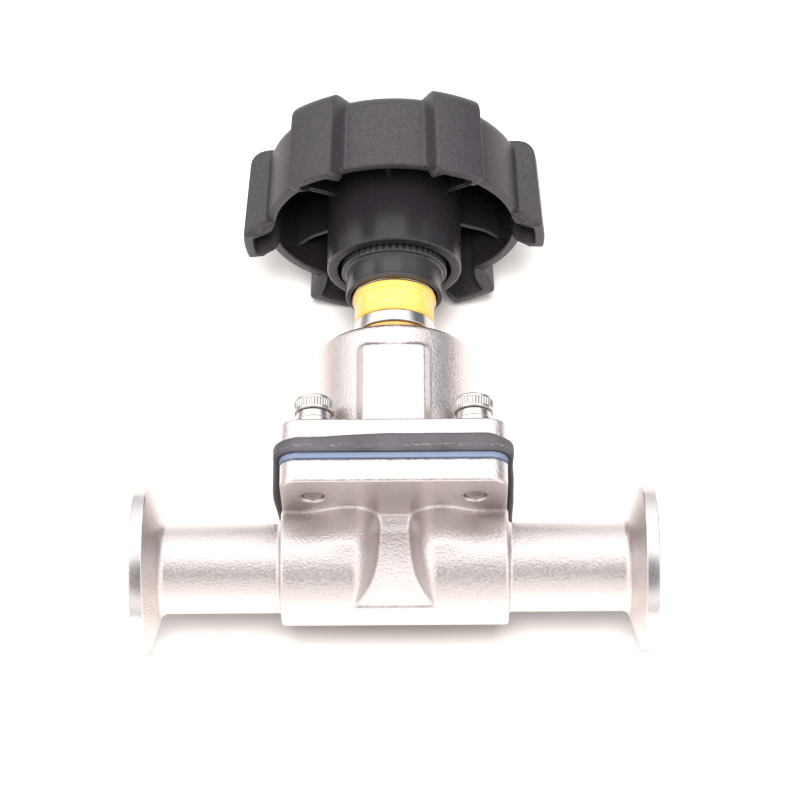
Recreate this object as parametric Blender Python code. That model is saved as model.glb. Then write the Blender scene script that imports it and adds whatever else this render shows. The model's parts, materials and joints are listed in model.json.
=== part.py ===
"""Weir-type diaphragm valve with clamp ferrule ends and a rising handwheel.

The origin is where the pipe axis (X) crosses the stem axis (Z). The valve is
modelled open: the handwheel is up and the whole indicator ring shows.
"""

import math

import bmesh
import bpy
from mathutils import Matrix, Vector

MM = 0.001
GAP = 0.3 * MM  # left between pieces that touch on the real valve

# Pipe side
FACE_TO_FACE = 158.0 * MM
FERRULE_RADIUS = 25.25 * MM
FERRULE_LAND = 4.0 * MM
FERRULE_SLOPE = math.radians(20.0)
FERRULE_NECK_RADIUS = 14.8 * MM
TUBE_RADIUS = 13.6 * MM
BORE_RADIUS = 11.1 * MM
BODY_RADIUS = 17.45 * MM
BODY_HALF_LENGTH = 34.5 * MM
BODY_EDGE = 1.2 * MM

# Square flanges, clamped by four screws
FLANGE_SIZE = Vector((68.2 * MM, 68.0 * MM))
FLANGE_CORNER = 5.5 * MM
FLANGE_BEVEL = 0.8 * MM
BODY_FLANGE_Z = (14.1 * MM, 21.5 * MM)
BONNET_FLANGE_Z = (28.0 * MM, 34.7 * MM)
SEAT_RADIUS = 6.6 * MM
SEAT_TOP_Z = 36.9 * MM
SCREW_SPACING = Vector((48.8 * MM, 43.2 * MM))
TAPPED_RADIUS = 3.4 * MM
CLEARANCE_HOLE_RADIUS = 4.2 * MM

# Weir, bowls and the outside pockets under the weir
WEIR_TOP_Z = 17.5 * MM
SADDLE_HALF_WIDTH = 18.0 * MM
SADDLE_HALF_LENGTH = 6.2 * MM
WEB_HALF_THICKNESS = 7.5 * MM
POCKET_HALF_WIDTH = 5.0 * MM
POCKET_FLARE = 7.2 * MM
POCKET_FLARE_Z = (-15.75 * MM, -1.0 * MM)  # the flare starts at the upper height
POCKET_DRAFT = 0.35
# Depth from the web, and how far the pocket's top is below the flange there
POCKET_SECTIONS = (
    (0.0, 5.6 * MM),
    (1.6 * MM, 2.0 * MM),
    (3.6 * MM, 0.7 * MM),
    (6.0 * MM, 0.5 * MM),
    (30.0 * MM, 0.5 * MM),
)
# Height, centre along X, half-size along X, half-size along Y
BOWL_SECTIONS = (
    (23.0 * MM, 12.3 * MM, 9.8 * MM, 18.0 * MM),
    (18.6 * MM, 12.6 * MM, 9.6 * MM, 15.6 * MM),
    (16.6 * MM, 13.2 * MM, 9.2 * MM, 12.0 * MM),
    (14.5 * MM, 14.0 * MM, 8.6 * MM, 8.1 * MM),
    (10.0 * MM, 15.4 * MM, 8.2 * MM, 8.7 * MM),
    (4.0 * MM, 17.0 * MM, 8.0 * MM, 9.6 * MM),
    (-4.0 * MM, 19.0 * MM, 8.0 * MM, 9.8 * MM),
    (-10.4 * MM, 21.0 * MM, 5.0 * MM, 3.6 * MM),
)

# Diaphragm, domed up by half of the stroke and a little more when open
FACE_THICKNESS = 1.7 * MM
BACKING_OVERHANG = 2.3 * MM
DOME_RISE = 4.7 * MM
DOME_RADII = (22.0 * MM, 17.3 * MM, 12.7 * MM, 8.0 * MM)  # foot, slope and flat top
STUD_RADIUS = 3.0 * MM
STUD_HEAD_RADIUS = 6.0 * MM
STUD_HEAD_HEIGHT = 1.6 * MM
STUD_TOP_Z = 42.0 * MM

# Bonnet
BONNET_RADIUS = 25.0 * MM
BONNET_TOP_Z = 71.5 * MM
BONNET_SHOULDER = 2.2 * MM
DOME_CHAMBER_RADIUS = 22.5 * MM
DOME_CHAMBER_TOP_Z = 35.0 * MM
GUIDE_RADIUS = 15.5 * MM
GUIDE_TOP_Z = 50.0 * MM
BOSS_BORE_RADIUS = 12.0 * MM
BOSS_BORE_TOP_Z = 61.0 * MM
PAD_WIDTH = 18.8 * MM
PAD_TOP_Z = 63.8 * MM
PAD_FACE_Y = 25.3 * MM
PAD_RISE = 1.4 * MM
PAD_ROOT_Y = 18.0 * MM
PAD_CORNER = 1.5 * MM
PAD_DRAFT = 1.3 * MM

# Compressor, shown at the top of its stroke
COMPRESSOR_HALF_LENGTH = 18.0 * MM
COMPRESSOR_HALF_WIDTH = 4.5 * MM
COMPRESSOR_SOLE_RADIUS = 36.0 * MM
COMPRESSOR_WING_TOP_Z = 44.0 * MM
COMPRESSOR_BOSS_RADIUS = 10.5 * MM
COMPRESSOR_BOSS_BOTTOM_Z = 38.0 * MM
COMPRESSOR_TOP_Z = 58.0 * MM
FINGER_HALF_SIZE = (13.5 * MM, 2.5 * MM)
FINGER_Z = (37.0 * MM, 43.0 * MM)
SOCKET_BOTTOM_Z = 46.0 * MM
PIN_RADIUS = 1.5 * MM
PIN_HALF_LENGTH = 8.2 * MM

# Spindle
SPINDLE_RADIUS = 5.9 * MM
SPINDLE_BOTTOM_Z = 47.8 * MM
SPINDLE_GROOVE_RADIUS = 4.2 * MM
SPINDLE_GROOVE_Z = (51.0 * MM, 54.6 * MM)
THREAD_Z = (81.0 * MM, 107.0 * MM)
THREAD_PITCH = 3.0 * MM
THREAD_DEPTH = 1.3 * MM
THREAD_CREST_HALF = 0.55 * MM
THREAD_ROOT_HALF = 1.15 * MM
THREAD_SINK = 0.6 * MM  # how far the ridge's root goes into the core
SPINDLE_COLLAR_RADIUS = 9.5 * MM
SPINDLE_COLLAR_Z = (108.5 * MM, 111.7 * MM)
SQUARE_SIZE = 8.0 * MM
SQUARE_TOP_Z = 127.8 * MM
SPINDLE_TOP_RADIUS = 3.9 * MM
SPINDLE_TOP_Z = 138.0 * MM

# Neck, bush, seals and indicator
NECK_Z = (62.3 * MM, 95.2 * MM)
NECK_SHANK_RADIUS = 10.5 * MM
NECK_FLANGE_RADIUS = 14.2 * MM
NECK_FLANGE_TOP_Z = 75.9 * MM
NECK_RADIUS = 10.8 * MM
COLLAR_Z = (78.4 * MM, 82.3 * MM)
COLLAR_RADIUS = 12.85 * MM
SPACER_RADIUS = 12.3 * MM
NECK_CORE_RADIUS = 10.2 * MM
SPINDLE_HOLE_RADIUS = 6.6 * MM
SEAL_BORE_RADIUS = 8.6 * MM
SEAL_SECTION_RADIUS = 1.0 * MM
SEAL_CENTRE_RADIUS = 7.3 * MM
SEAL_GROOVES_Z = (64.3 * MM, 68.3 * MM)
SEAL_GROOVE_HEIGHT = 2.6 * MM
FACE_SEAL_RADIUS = 12.2 * MM
FACE_SEAL_SECTION = 0.8 * MM
BUSH_RADIUS = 8.3 * MM
BUSH_BORE_RADIUS = 6.2 * MM
BUSH_Z = (71.5 * MM, 97.0 * MM)
INDICATOR_Z = (82.6 * MM, 92.6 * MM)
INDICATOR_RADIUS = 12.65 * MM
INDICATOR_LIP_RADIUS = 13.4 * MM
INDICATOR_LIP_HEIGHT = 2.0 * MM
RETAINER_Z = (92.9 * MM, 94.9 * MM)
RETAINER_RADIUS = 13.0 * MM

# Screws and washers
SCREW_HEAD_RADIUS = 6.1 * MM
SCREW_HEAD_HEIGHT = 4.6 * MM
SCREW_SHANK_RADIUS = 3.9 * MM
SCREW_CORE_RADIUS = 3.1 * MM
SCREW_END_Z = 15.0 * MM
SCREW_SOCKET_SIZE = 6.0 * MM
SCREW_SOCKET_DEPTH = 3.2 * MM
FLAT_WASHER_RADIUS = 5.9 * MM
FLAT_WASHER_THICKNESS = 1.8 * MM
SPRING_WASHER_RADIUS = 5.4 * MM
SPRING_WASHER_THICKNESS = 2.0 * MM

# Handwheel
WHEEL_TURN = math.radians(-3.5)  # angle from +X to the middle of the first lobe
LOBE_COUNT = 6
WHEEL_TOP_Z = 145.0 * MM
WHEEL_WALL = 3.1 * MM
WHEEL_ROOF = 3.5 * MM
# Each ring of the skirt: lobe height and radius, recess height and radius
SKIRT_RINGS = (
    (112.9 * MM, 48.7 * MM, 117.9 * MM, 41.5 * MM),
    (120.0 * MM, 48.4 * MM, 122.5 * MM, 41.4 * MM),
    (129.0 * MM, 47.7 * MM, 130.0 * MM, 41.1 * MM),
    (137.0 * MM, 46.7 * MM, 137.0 * MM, 40.6 * MM),
    (142.2 * MM, 45.1 * MM, 142.0 * MM, 39.6 * MM),
    (145.0 * MM, 42.2 * MM, 145.0 * MM, 36.8 * MM),
)
CROWN_RADII = (40.0 * MM, 34.8 * MM)  # under the roof: in the lobes and in the recesses
LOBE_EDGE = math.radians(10.2)
LOBE_SIDE = math.radians(21.0)
RECESS_EDGE = math.radians(13.4)
RIB_THICKNESS = 2.2 * MM
RIB_OUTER_RADIUS = 39.4 * MM
RIB_BOTTOM_Z = 124.8 * MM
HUB_RADIUS = 21.5 * MM
HUB_BOTTOM_Z = 102.5 * MM
HUB_BORE_RADIUS = 18.1 * MM
HUB_FLOOR_Z = 115.3 * MM
NUT_WELL_RADIUS = 14.0 * MM
NUT_WELL_BOTTOM_Z = 128.0 * MM
CAP_THICKNESS = 3.6 * MM
NUT_SIZE = 13.0 * MM
NUT_HEIGHT = 6.5 * MM
WHEEL_WASHER_RADIUS = 9.0 * MM
WHEEL_WASHER_THICKNESS = 1.6 * MM

# Travel-stop sleeve
SLEEVE_Z = (92.8 * MM, 115.0 * MM)
SLEEVE_RADIUS = 15.45 * MM
SLEEVE_BORE_RADIUS = 13.7 * MM
SLEEVE_WEB = 3.0 * MM
SLEEVE_RING_Z = (101.2 * MM, 104.9 * MM)
SLEEVE_RING_RADIUS = 16.9 * MM

BORE_FROM_X = 14.0 * MM
OVERSHOOT = 1.0 * MM  # how far a cutter runs past what it cuts
ROUND = 40  # segments of large round pieces
BORE_ROUND = 32
RING_ROUND = 24
SMALL_ROUND = 16
PIN_ROUND = 12

ABOUT_X = Matrix.Rotation(math.radians(90.0), 4, "Y")
ABOUT_Y = Matrix.Rotation(math.radians(-90.0), 4, "X")


def clear_scene():
    for item in list(bpy.data.objects):
        bpy.data.objects.remove(item, do_unlink=True)


def make_material(name, color, roughness, metallic):
    material = bpy.data.materials.new(name)
    material.use_nodes = True
    shader = material.node_tree.nodes["Principled BSDF"]
    shader.inputs["Base Color"].default_value = (*color, 1.0)
    shader.inputs["Roughness"].default_value = roughness
    shader.inputs["Metallic"].default_value = metallic
    material.diffuse_color = (*color, 1.0)
    return material


def make_object(name, mesh_builder, material=None):
    """Turns a closed bmesh into an object whose faces point out."""
    bmesh.ops.recalc_face_normals(mesh_builder, faces=mesh_builder.faces)
    if mesh_builder.calc_volume(signed=True) < 0:
        bmesh.ops.reverse_faces(mesh_builder, faces=mesh_builder.faces)
    mesh = bpy.data.meshes.new(name)
    mesh_builder.to_mesh(mesh)
    mesh_builder.free()
    mesh.shade_smooth()
    mesh.set_sharp_from_angle(angle=math.radians(35.0))
    if material:
        mesh.materials.append(material)
    made = bpy.data.objects.new(name, mesh)
    bpy.context.scene.collection.objects.link(made)
    return made


def boolean(target, tool, operation):
    tool.hide_render = True
    tool.display_type = "WIRE"
    modifier = target.modifiers.new(tool.name, "BOOLEAN")
    modifier.operation = operation
    modifier.solver = "EXACT"
    modifier.object = tool


def cut(target, *tools):
    for tool in tools:
        boolean(target, tool, "DIFFERENCE")


def join(target, *tools):
    for tool in tools:
        boolean(target, tool, "UNION")


def ring_points(radius, height, segments, turn=0.0):
    step = 2.0 * math.pi / segments
    return [
        Vector((radius * math.cos(turn + i * step), radius * math.sin(turn + i * step), height))
        for i in range(segments)
    ]


def loft(rings, closed=False):
    """Joins rings of equally many points; open ends get flat caps."""
    builder = bmesh.new()
    rows = [[builder.verts.new(point) for point in ring] for ring in rings]
    pairs = list(zip(rows, rows[1:]))
    if closed:
        pairs.append((rows[-1], rows[0]))
    else:
        builder.faces.new(rows[0])
        builder.faces.new(rows[-1])
    for low, high in pairs:
        for i in range(len(low)):
            k = (i + 1) % len(low)
            builder.faces.new((low[i], low[k], high[k], high[i]))
    return builder


def turned(profile, segments=ROUND, closed=False):
    """A turned shape about Z from (radius, height) pairs; closed makes a ring."""
    return loft([ring_points(radius, height, segments) for radius, height in profile], closed)


def tube_profile(inner, outer, low, high):
    return ((inner, low), (outer, low), (outer, high), (inner, high))


def washer(inner, outer, low, high, segments=SMALL_ROUND):
    return turned(tube_profile(inner, outer, low, high), segments, closed=True)


def rod(radius, low, high, segments=SMALL_ROUND):
    return turned(((radius, low), (radius, high)), segments)


def o_ring(centre_radius, section_radius, height, segments=SMALL_ROUND, sides=6):
    section = []
    for i in range(sides):
        angle = 2.0 * math.pi * i / sides
        radius = centre_radius + section_radius * math.cos(angle)
        section.append((radius, height + section_radius * math.sin(angle)))
    return turned(section, segments, closed=True)


def box(low, high):
    size = Vector(high) - Vector(low)
    middle = (Vector(high) + Vector(low)) / 2.0
    builder = bmesh.new()
    bmesh.ops.create_cube(builder, size=1.0, matrix=Matrix.Diagonal((*size, 1.0)))
    bmesh.ops.translate(builder, vec=middle, verts=builder.verts)
    return builder


def moved(builder, *, turn=None, by=None):
    if turn:
        bmesh.ops.transform(builder, matrix=turn, verts=builder.verts)
    if by:
        bmesh.ops.translate(builder, vec=by, verts=builder.verts)
    return builder


def rounded_rectangle(size, corner, corner_steps=5, side_steps=3):
    """Outline points, counterclockwise, with arcs at the corners."""
    half = Vector((size[0] / 2.0 - corner, size[1] / 2.0 - corner))
    points = []
    for quarter in range(4):
        sign_x = 1.0 if quarter in (0, 3) else -1.0
        sign_y = 1.0 if quarter in (0, 1) else -1.0
        for i in range(corner_steps + 1):
            angle = math.radians(90.0) * (quarter + i / corner_steps)
            points.append(
                Vector((
                    sign_x * half.x + corner * math.cos(angle),
                    sign_y * half.y + corner * math.sin(angle),
                ))
            )
    outline = []
    for i, point in enumerate(points):
        outline.append(point)
        if i % (corner_steps + 1) == corner_steps:
            following = points[(i + 1) % len(points)]
            for k in range(1, side_steps + 1):
                outline.append(point.lerp(following, k / (side_steps + 1)))
    return outline


def lifted(outline, height):
    return [Vector((point[0], point[1], height)) for point in outline]


def flange_plate(low, high):
    """A square plate with round corners and a small bevel on both edges."""
    full = rounded_rectangle(FLANGE_SIZE, FLANGE_CORNER, side_steps=0)
    inset = Vector((2.0 * FLANGE_BEVEL, 2.0 * FLANGE_BEVEL))
    small = rounded_rectangle(FLANGE_SIZE - inset, FLANGE_CORNER - FLANGE_BEVEL, side_steps=0)
    return loft([
        lifted(small, low),
        lifted(full, low + FLANGE_BEVEL),
        lifted(full, high - FLANGE_BEVEL),
        lifted(small, high),
    ])


def screw_places():
    for sign_x, sign_y in ((-1, -1), (1, -1), (1, 1), (-1, 1)):
        yield Vector((sign_x * SCREW_SPACING.x / 2.0, sign_y * SCREW_SPACING.y / 2.0, 0.0))


def screw_hole_cutters(owner, radius, low, high):
    return [
        make_object(f"{owner}_hole_{i}", moved(rod(radius, low, high, SMALL_ROUND), by=place))
        for i, place in enumerate(screw_places(), 1)
    ]


def pipe_profile():
    """Radius against X for the casting's outside, from the inlet to the outlet face."""
    end = FACE_TO_FACE / 2.0
    land_end = end - FERRULE_LAND
    slope_end = land_end - (FERRULE_RADIUS - FERRULE_NECK_RADIUS) * math.tan(FERRULE_SLOPE)
    fillet = FERRULE_NECK_RADIUS - TUBE_RADIUS
    right = [
        (BODY_RADIUS, BODY_HALF_LENGTH - BODY_EDGE),
        (BODY_RADIUS - BODY_EDGE, BODY_HALF_LENGTH),
        (TUBE_RADIUS + BODY_EDGE, BODY_HALF_LENGTH),
        (TUBE_RADIUS, BODY_HALF_LENGTH + BODY_EDGE),
        (TUBE_RADIUS, slope_end - 1.6 * fillet),
        (FERRULE_NECK_RADIUS, slope_end),
        (FERRULE_RADIUS, land_end),
        (FERRULE_RADIUS, end),
    ]
    left = [(radius, -x) for radius, x in reversed(right)]
    return left + right


def pocket_cutter(side):
    """The trumpet-shaped recess under the flange, widening outwards and downwards."""
    flare_bottom, flare_top = POCKET_FLARE_Z
    bottom = -BODY_RADIUS - 2.0 * OVERSHOOT
    steps = 7
    heights = [bottom + (flare_top - bottom) * i / steps for i in range(steps + 1)]
    rings = []
    for depth, drop in POCKET_SECTIONS:
        top = BODY_FLANGE_Z[0] - drop
        edge = []
        for height in heights + [top]:
            share = max(0.0, (flare_top - height) / (flare_top - flare_bottom))
            half_width = POCKET_HALF_WIDTH + POCKET_FLARE * share**2.2 + POCKET_DRAFT * depth
            edge.append((half_width, height))
        y = side * (WEB_HALF_THICKNESS + depth)
        outline = [Vector((x, y, z)) for x, z in edge]
        outline += [Vector((-x, y, z)) for x, z in reversed(edge)]
        rings.append(outline)
    return make_object(f"pocket_{'front' if side < 0 else 'back'}", loft(rings))


def bowl_cutter(side):
    """The flow bowl beside the weir: oval sections from the seat down into the bore."""
    rings = []
    for height, centre, half_x, half_y in BOWL_SECTIONS:
        unit = ring_points(1.0, height, RING_ROUND - 2)
        rings.append([
            Vector((side * centre + half_x * point.x, half_y * point.y, height)) for point in unit
        ])
    return make_object(f"bowl_{'outlet' if side > 0 else 'inlet'}", loft(rings))


def bore_cutter(side):
    low = BORE_FROM_X
    high = FACE_TO_FACE / 2.0 + OVERSHOOT
    turn = ABOUT_X if side > 0 else Matrix.Rotation(math.radians(-90.0), 4, "Y")
    name = f"bore_{'outlet' if side > 0 else 'inlet'}"
    return make_object(name, moved(rod(BORE_RADIUS, low, high, BORE_ROUND), turn=turn))


def saddle_cutter():
    """Lowers the weir's crest to a shallow round saddle."""
    depth = BODY_FLANGE_Z[1] - WEIR_TOP_Z
    radius = (SADDLE_HALF_WIDTH**2 + depth**2) / (2.0 * depth)
    cutter = rod(radius, -SADDLE_HALF_LENGTH, SADDLE_HALF_LENGTH, 72)
    cutter = moved(cutter, turn=ABOUT_X)
    return make_object("saddle", moved(cutter, by=Vector((0.0, 0.0, WEIR_TOP_Z + radius))))


def make_valve_body(steel):
    pipe = moved(turned(pipe_profile()), turn=ABOUT_X)
    body = make_object("valve_body", pipe, steel)
    join(body, make_object("body_flange", flange_plate(*BODY_FLANGE_Z)))
    cut(body, saddle_cutter())
    for side in (-1, 1):
        cut(body, pocket_cutter(side), bowl_cutter(side), bore_cutter(side))
    low = BODY_FLANGE_Z[0] - OVERSHOOT
    high = BODY_FLANGE_Z[1] + OVERSHOOT
    cut(body, *screw_hole_cutters("body", TAPPED_RADIUS, low, high))
    return body


def dome(radius):
    """How far the open diaphragm stands up at this radius."""
    foot, flat = DOME_RADII[0], DOME_RADII[-1]
    share = min(1.0, max(0.0, (radius - flat) / (foot - flat)))
    return DOME_RISE * (0.5 + 0.5 * math.cos(math.pi * share))


def dome_ring(outline, radius, height):
    return [Vector((*(point.normalized() * radius), height + dome(radius))) for point in outline]


def domed_sheet(outline, low, high):
    """A square sheet with a round dome in the middle, flat at its rim."""
    under = [dome_ring(outline, radius, low) for radius in reversed(DOME_RADII)]
    over = [dome_ring(outline, radius, high) for radius in DOME_RADII]
    return loft([*under, lifted(outline, low), lifted(outline, high), *over])


def make_diaphragm_face(ptfe):
    low = BODY_FLANGE_Z[1] + GAP
    outline = rounded_rectangle(FLANGE_SIZE, FLANGE_CORNER, 3)
    sheet = domed_sheet(outline, low, low + FACE_THICKNESS)
    face = make_object("diaphragm_face", sheet, ptfe)
    high = low + FACE_THICKNESS + OVERSHOOT
    cut(face, *screw_hole_cutters("face", CLEARANCE_HOLE_RADIUS, low - OVERSHOOT, high))
    return face


def make_diaphragm_backing(rubber):
    low = BODY_FLANGE_Z[1] + FACE_THICKNESS + 2.0 * GAP
    high = BONNET_FLANGE_Z[0] - GAP
    full = FLANGE_SIZE + Vector((2.0 * BACKING_OVERHANG, 2.0 * BACKING_OVERHANG))
    outline = rounded_rectangle(full, FLANGE_CORNER + BACKING_OVERHANG, 3)
    backing = make_object("diaphragm_backing", domed_sheet(outline, low, high), rubber)
    centre_low = low + DOME_RISE
    head_room = centre_low + STUD_HEAD_HEIGHT + 2.0 * GAP
    profile = (
        (STUD_HEAD_RADIUS + GAP, centre_low - OVERSHOOT),
        (STUD_HEAD_RADIUS + GAP, head_room),
        (STUD_RADIUS + GAP, head_room),
        (STUD_RADIUS + GAP, high + DOME_RISE + OVERSHOOT),
    )
    cut(backing, make_object("stud_seat", turned(profile, SMALL_ROUND)))
    holes = (CLEARANCE_HOLE_RADIUS, low - OVERSHOOT, high + OVERSHOOT)
    cut(backing, *screw_hole_cutters("backing", *holes))
    return backing


def make_diaphragm_stud(steel):
    low = BODY_FLANGE_Z[1] + FACE_THICKNESS + 2.0 * GAP + DOME_RISE
    profile = (
        (STUD_HEAD_RADIUS, low),
        (STUD_HEAD_RADIUS, low + STUD_HEAD_HEIGHT),
        (STUD_RADIUS, low + STUD_HEAD_HEIGHT),
        (STUD_RADIUS, STUD_TOP_Z - 0.5 * MM),
        (STUD_RADIUS - 0.5 * MM, STUD_TOP_Z),
    )
    return make_object("diaphragm_stud", turned(profile, SMALL_ROUND), steel)


def bonnet_shell():
    """The round part: a cylinder with a rounded shoulder."""
    low = BONNET_FLANGE_Z[0] + 2.0 * MM
    profile = [(BONNET_RADIUS, low)]
    for i in range(5):
        angle = math.radians(90.0) * i / 4.0
        radius = BONNET_RADIUS - BONNET_SHOULDER * (1.0 - math.cos(angle))
        height = BONNET_TOP_Z - BONNET_SHOULDER * (1.0 - math.sin(angle))
        profile.append((radius, height))
    return make_object("bonnet_shell", turned(profile))


def bonnet_pad(side):
    """A raised flat pad with round upper corners and drafted sides."""
    steps = 4
    rings = []
    for depth, grow in (
        (PAD_ROOT_Y, PAD_DRAFT),
        (PAD_FACE_Y - PAD_RISE, PAD_DRAFT),
        (PAD_FACE_Y, 0.0),
    ):
        half = PAD_WIDTH / 2.0 + grow
        top = PAD_TOP_Z + grow
        edge = [Vector((half, side * depth, BONNET_FLANGE_Z[1] - 2.0 * MM))]
        for i in range(steps + 1):
            angle = math.radians(90.0) * i / steps
            x = half - PAD_CORNER * (1.0 - math.cos(angle))
            z = top - PAD_CORNER * (1.0 - math.sin(angle))
            edge.append(Vector((x, side * depth, z)))
        mirrored = [Vector((-point.x, point.y, point.z)) for point in reversed(edge)]
        rings.append(edge + mirrored)
    return make_object(f"bonnet_pad_{'front' if side < 0 else 'back'}", loft(rings))


def screw_seats():
    """Round bosses under the screws' washers."""
    low = BONNET_FLANGE_Z[1] - OVERSHOOT
    for i, place in enumerate(screw_places(), 1):
        seat = rod(SEAT_RADIUS, low, SEAT_TOP_Z, RING_ROUND)
        yield make_object(f"screw_seat_{i}", moved(seat, by=place))


def bonnet_cavity():
    hole = NECK_SHANK_RADIUS + GAP
    profile = (
        (DOME_CHAMBER_RADIUS, BONNET_FLANGE_Z[0] - OVERSHOOT),
        (DOME_CHAMBER_RADIUS, DOME_CHAMBER_TOP_Z),
        (GUIDE_RADIUS, DOME_CHAMBER_TOP_Z + 0.5 * MM),
        (GUIDE_RADIUS, GUIDE_TOP_Z),
        (BOSS_BORE_RADIUS, GUIDE_TOP_Z + 1.0 * MM),
        (BOSS_BORE_RADIUS, BOSS_BORE_TOP_Z),
        (hole, BOSS_BORE_TOP_Z + 0.5 * MM),
        (hole, BONNET_TOP_Z + OVERSHOOT),
    )
    return make_object("bonnet_cavity", turned(profile, BORE_ROUND))


def make_bonnet(steel):
    bonnet = make_object("bonnet", flange_plate(*BONNET_FLANGE_Z), steel)
    join(bonnet, bonnet_shell(), bonnet_pad(-1), bonnet_pad(1), *screw_seats())
    slot_x = COMPRESSOR_HALF_WIDTH + GAP
    slot_y = COMPRESSOR_HALF_LENGTH + GAP
    slot_low = DOME_CHAMBER_TOP_Z - OVERSHOOT
    slot = box((-slot_x, -slot_y, slot_low), (slot_x, slot_y, GUIDE_TOP_Z))
    cut(bonnet, bonnet_cavity(), make_object("guide_slot", slot))
    low = BONNET_FLANGE_Z[0] - OVERSHOOT
    high = SEAT_TOP_Z + OVERSHOOT
    cut(bonnet, *screw_hole_cutters("bonnet", CLEARANCE_HOLE_RADIUS, low, high))
    return bonnet


def compressor_sole_z(y):
    bottom = BONNET_FLANGE_Z[0] - GAP + DOME_RISE + GAP
    return bottom + COMPRESSOR_SOLE_RADIUS - math.sqrt(COMPRESSOR_SOLE_RADIUS**2 - y * y)


def make_compressor(steel):
    """A wing with a curved sole along the weir, cross fingers and a socket boss."""
    steps = 12
    outline = []
    for i in range(steps + 1):
        y = COMPRESSOR_HALF_LENGTH * (2.0 * i / steps - 1.0)
        outline.append((y, compressor_sole_z(y)))
    outline.append((COMPRESSOR_HALF_LENGTH, COMPRESSOR_WING_TOP_Z))
    outline.append((-COMPRESSOR_HALF_LENGTH, COMPRESSOR_WING_TOP_Z))
    half = COMPRESSOR_HALF_WIDTH
    wing = loft([[Vector((x, y, z)) for y, z in outline] for x in (-half, half)])
    compressor = make_object("compressor", wing, steel)
    boss = rod(COMPRESSOR_BOSS_RADIUS, COMPRESSOR_BOSS_BOTTOM_Z, COMPRESSOR_TOP_Z, RING_ROUND)
    join(compressor, make_object("compressor_boss", boss))
    finger_x, finger_y = FINGER_HALF_SIZE
    finger = box((-finger_x, -finger_y, FINGER_Z[0]), (finger_x, finger_y, FINGER_Z[1]))
    join(compressor, make_object("compressor_finger", finger))
    socket = rod(SPINDLE_RADIUS + GAP + 0.1 * MM, SOCKET_BOTTOM_Z, COMPRESSOR_TOP_Z + OVERSHOOT)
    stud_hole = rod(STUD_RADIUS + GAP, BONNET_FLANGE_Z[0], STUD_TOP_Z + GAP)
    cut(compressor, make_object("socket", socket), make_object("stud_hole", stud_hole))
    for i, place in enumerate(pin_places(), 1):
        half = COMPRESSOR_BOSS_RADIUS + OVERSHOOT
        hole = rod(PIN_RADIUS + GAP, -half, half, PIN_ROUND)
        cut(compressor, make_object(f"pin_hole_{i}", moved(hole, turn=ABOUT_Y, by=place)))
    return compressor


def pin_places():
    x = SPINDLE_GROOVE_RADIUS + GAP + PIN_RADIUS
    z = sum(SPINDLE_GROOVE_Z) / 2.0
    return Vector((-x, 0.0, z)), Vector((x, 0.0, z))


def make_spindle_pins(steel):
    for i, place in enumerate(pin_places(), 1):
        pin = rod(PIN_RADIUS, -PIN_HALF_LENGTH, PIN_HALF_LENGTH, PIN_ROUND)
        make_object(f"spindle_pin_{i}", moved(pin, turn=ABOUT_Y, by=place), steel)


def make_thrust_washer(bronze):
    low = SOCKET_BOTTOM_Z + GAP
    high = SPINDLE_BOTTOM_Z - GAP
    return make_object("thrust_washer", washer(2.0 * MM, SPINDLE_RADIUS, low, high), bronze)


def thread_ridge(segments=8):
    """One helical ridge round the spindle's core, running out at both ends."""
    low, high = THREAD_Z
    turns = (high - low - THREAD_PITCH) / THREAD_PITCH
    count = int(turns * segments)
    core = SPINDLE_RADIUS - THREAD_DEPTH
    rings = []
    for i in range(count + 1):
        angle = 2.0 * math.pi * i / segments
        height = low + THREAD_PITCH * (0.5 + i / segments)
        fade = min(1.0, i / 4.0, (count - i) / 4.0)
        crest = core + THREAD_DEPTH * fade
        section = (
            (core - THREAD_SINK, -THREAD_ROOT_HALF),
            (crest, -THREAD_CREST_HALF),
            (crest, THREAD_CREST_HALF),
            (core - THREAD_SINK, THREAD_ROOT_HALF),
        )
        along = Vector((math.cos(angle), math.sin(angle), 0.0))
        rings.append([along * radius + Vector((0.0, 0.0, height + dz)) for radius, dz in section])
    return make_object("thread_ridge", loft(rings))


def make_spindle(steel):
    low, high = SPINDLE_GROOVE_Z
    core = SPINDLE_RADIUS - THREAD_DEPTH
    chamfer = 0.6 * MM
    profile = (
        (SPINDLE_RADIUS - chamfer, SPINDLE_BOTTOM_Z),
        (SPINDLE_RADIUS, SPINDLE_BOTTOM_Z + chamfer),
        (SPINDLE_RADIUS, low),
        (SPINDLE_GROOVE_RADIUS, low),
        (SPINDLE_GROOVE_RADIUS, high),
        (SPINDLE_RADIUS, high),
        (SPINDLE_RADIUS, THREAD_Z[0]),
        (core, THREAD_Z[0] + chamfer),
        (core, SPINDLE_COLLAR_Z[0] - 1.0 * MM),
        (SPINDLE_COLLAR_RADIUS, SPINDLE_COLLAR_Z[0]),
        (SPINDLE_COLLAR_RADIUS, SPINDLE_COLLAR_Z[1]),
        (SPINDLE_TOP_RADIUS, SPINDLE_COLLAR_Z[1]),
        (SPINDLE_TOP_RADIUS, SPINDLE_TOP_Z - chamfer),
        (SPINDLE_TOP_RADIUS - chamfer, SPINDLE_TOP_Z),
    )
    spindle = make_object("spindle", turned(profile, SMALL_ROUND), steel)
    half = SQUARE_SIZE / 2.0
    square = box((-half, -half, SPINDLE_COLLAR_Z[1] - 1.0 * MM), (half, half, SQUARE_TOP_Z))
    join(spindle, make_object("spindle_square", square), thread_ridge())
    return spindle


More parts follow.
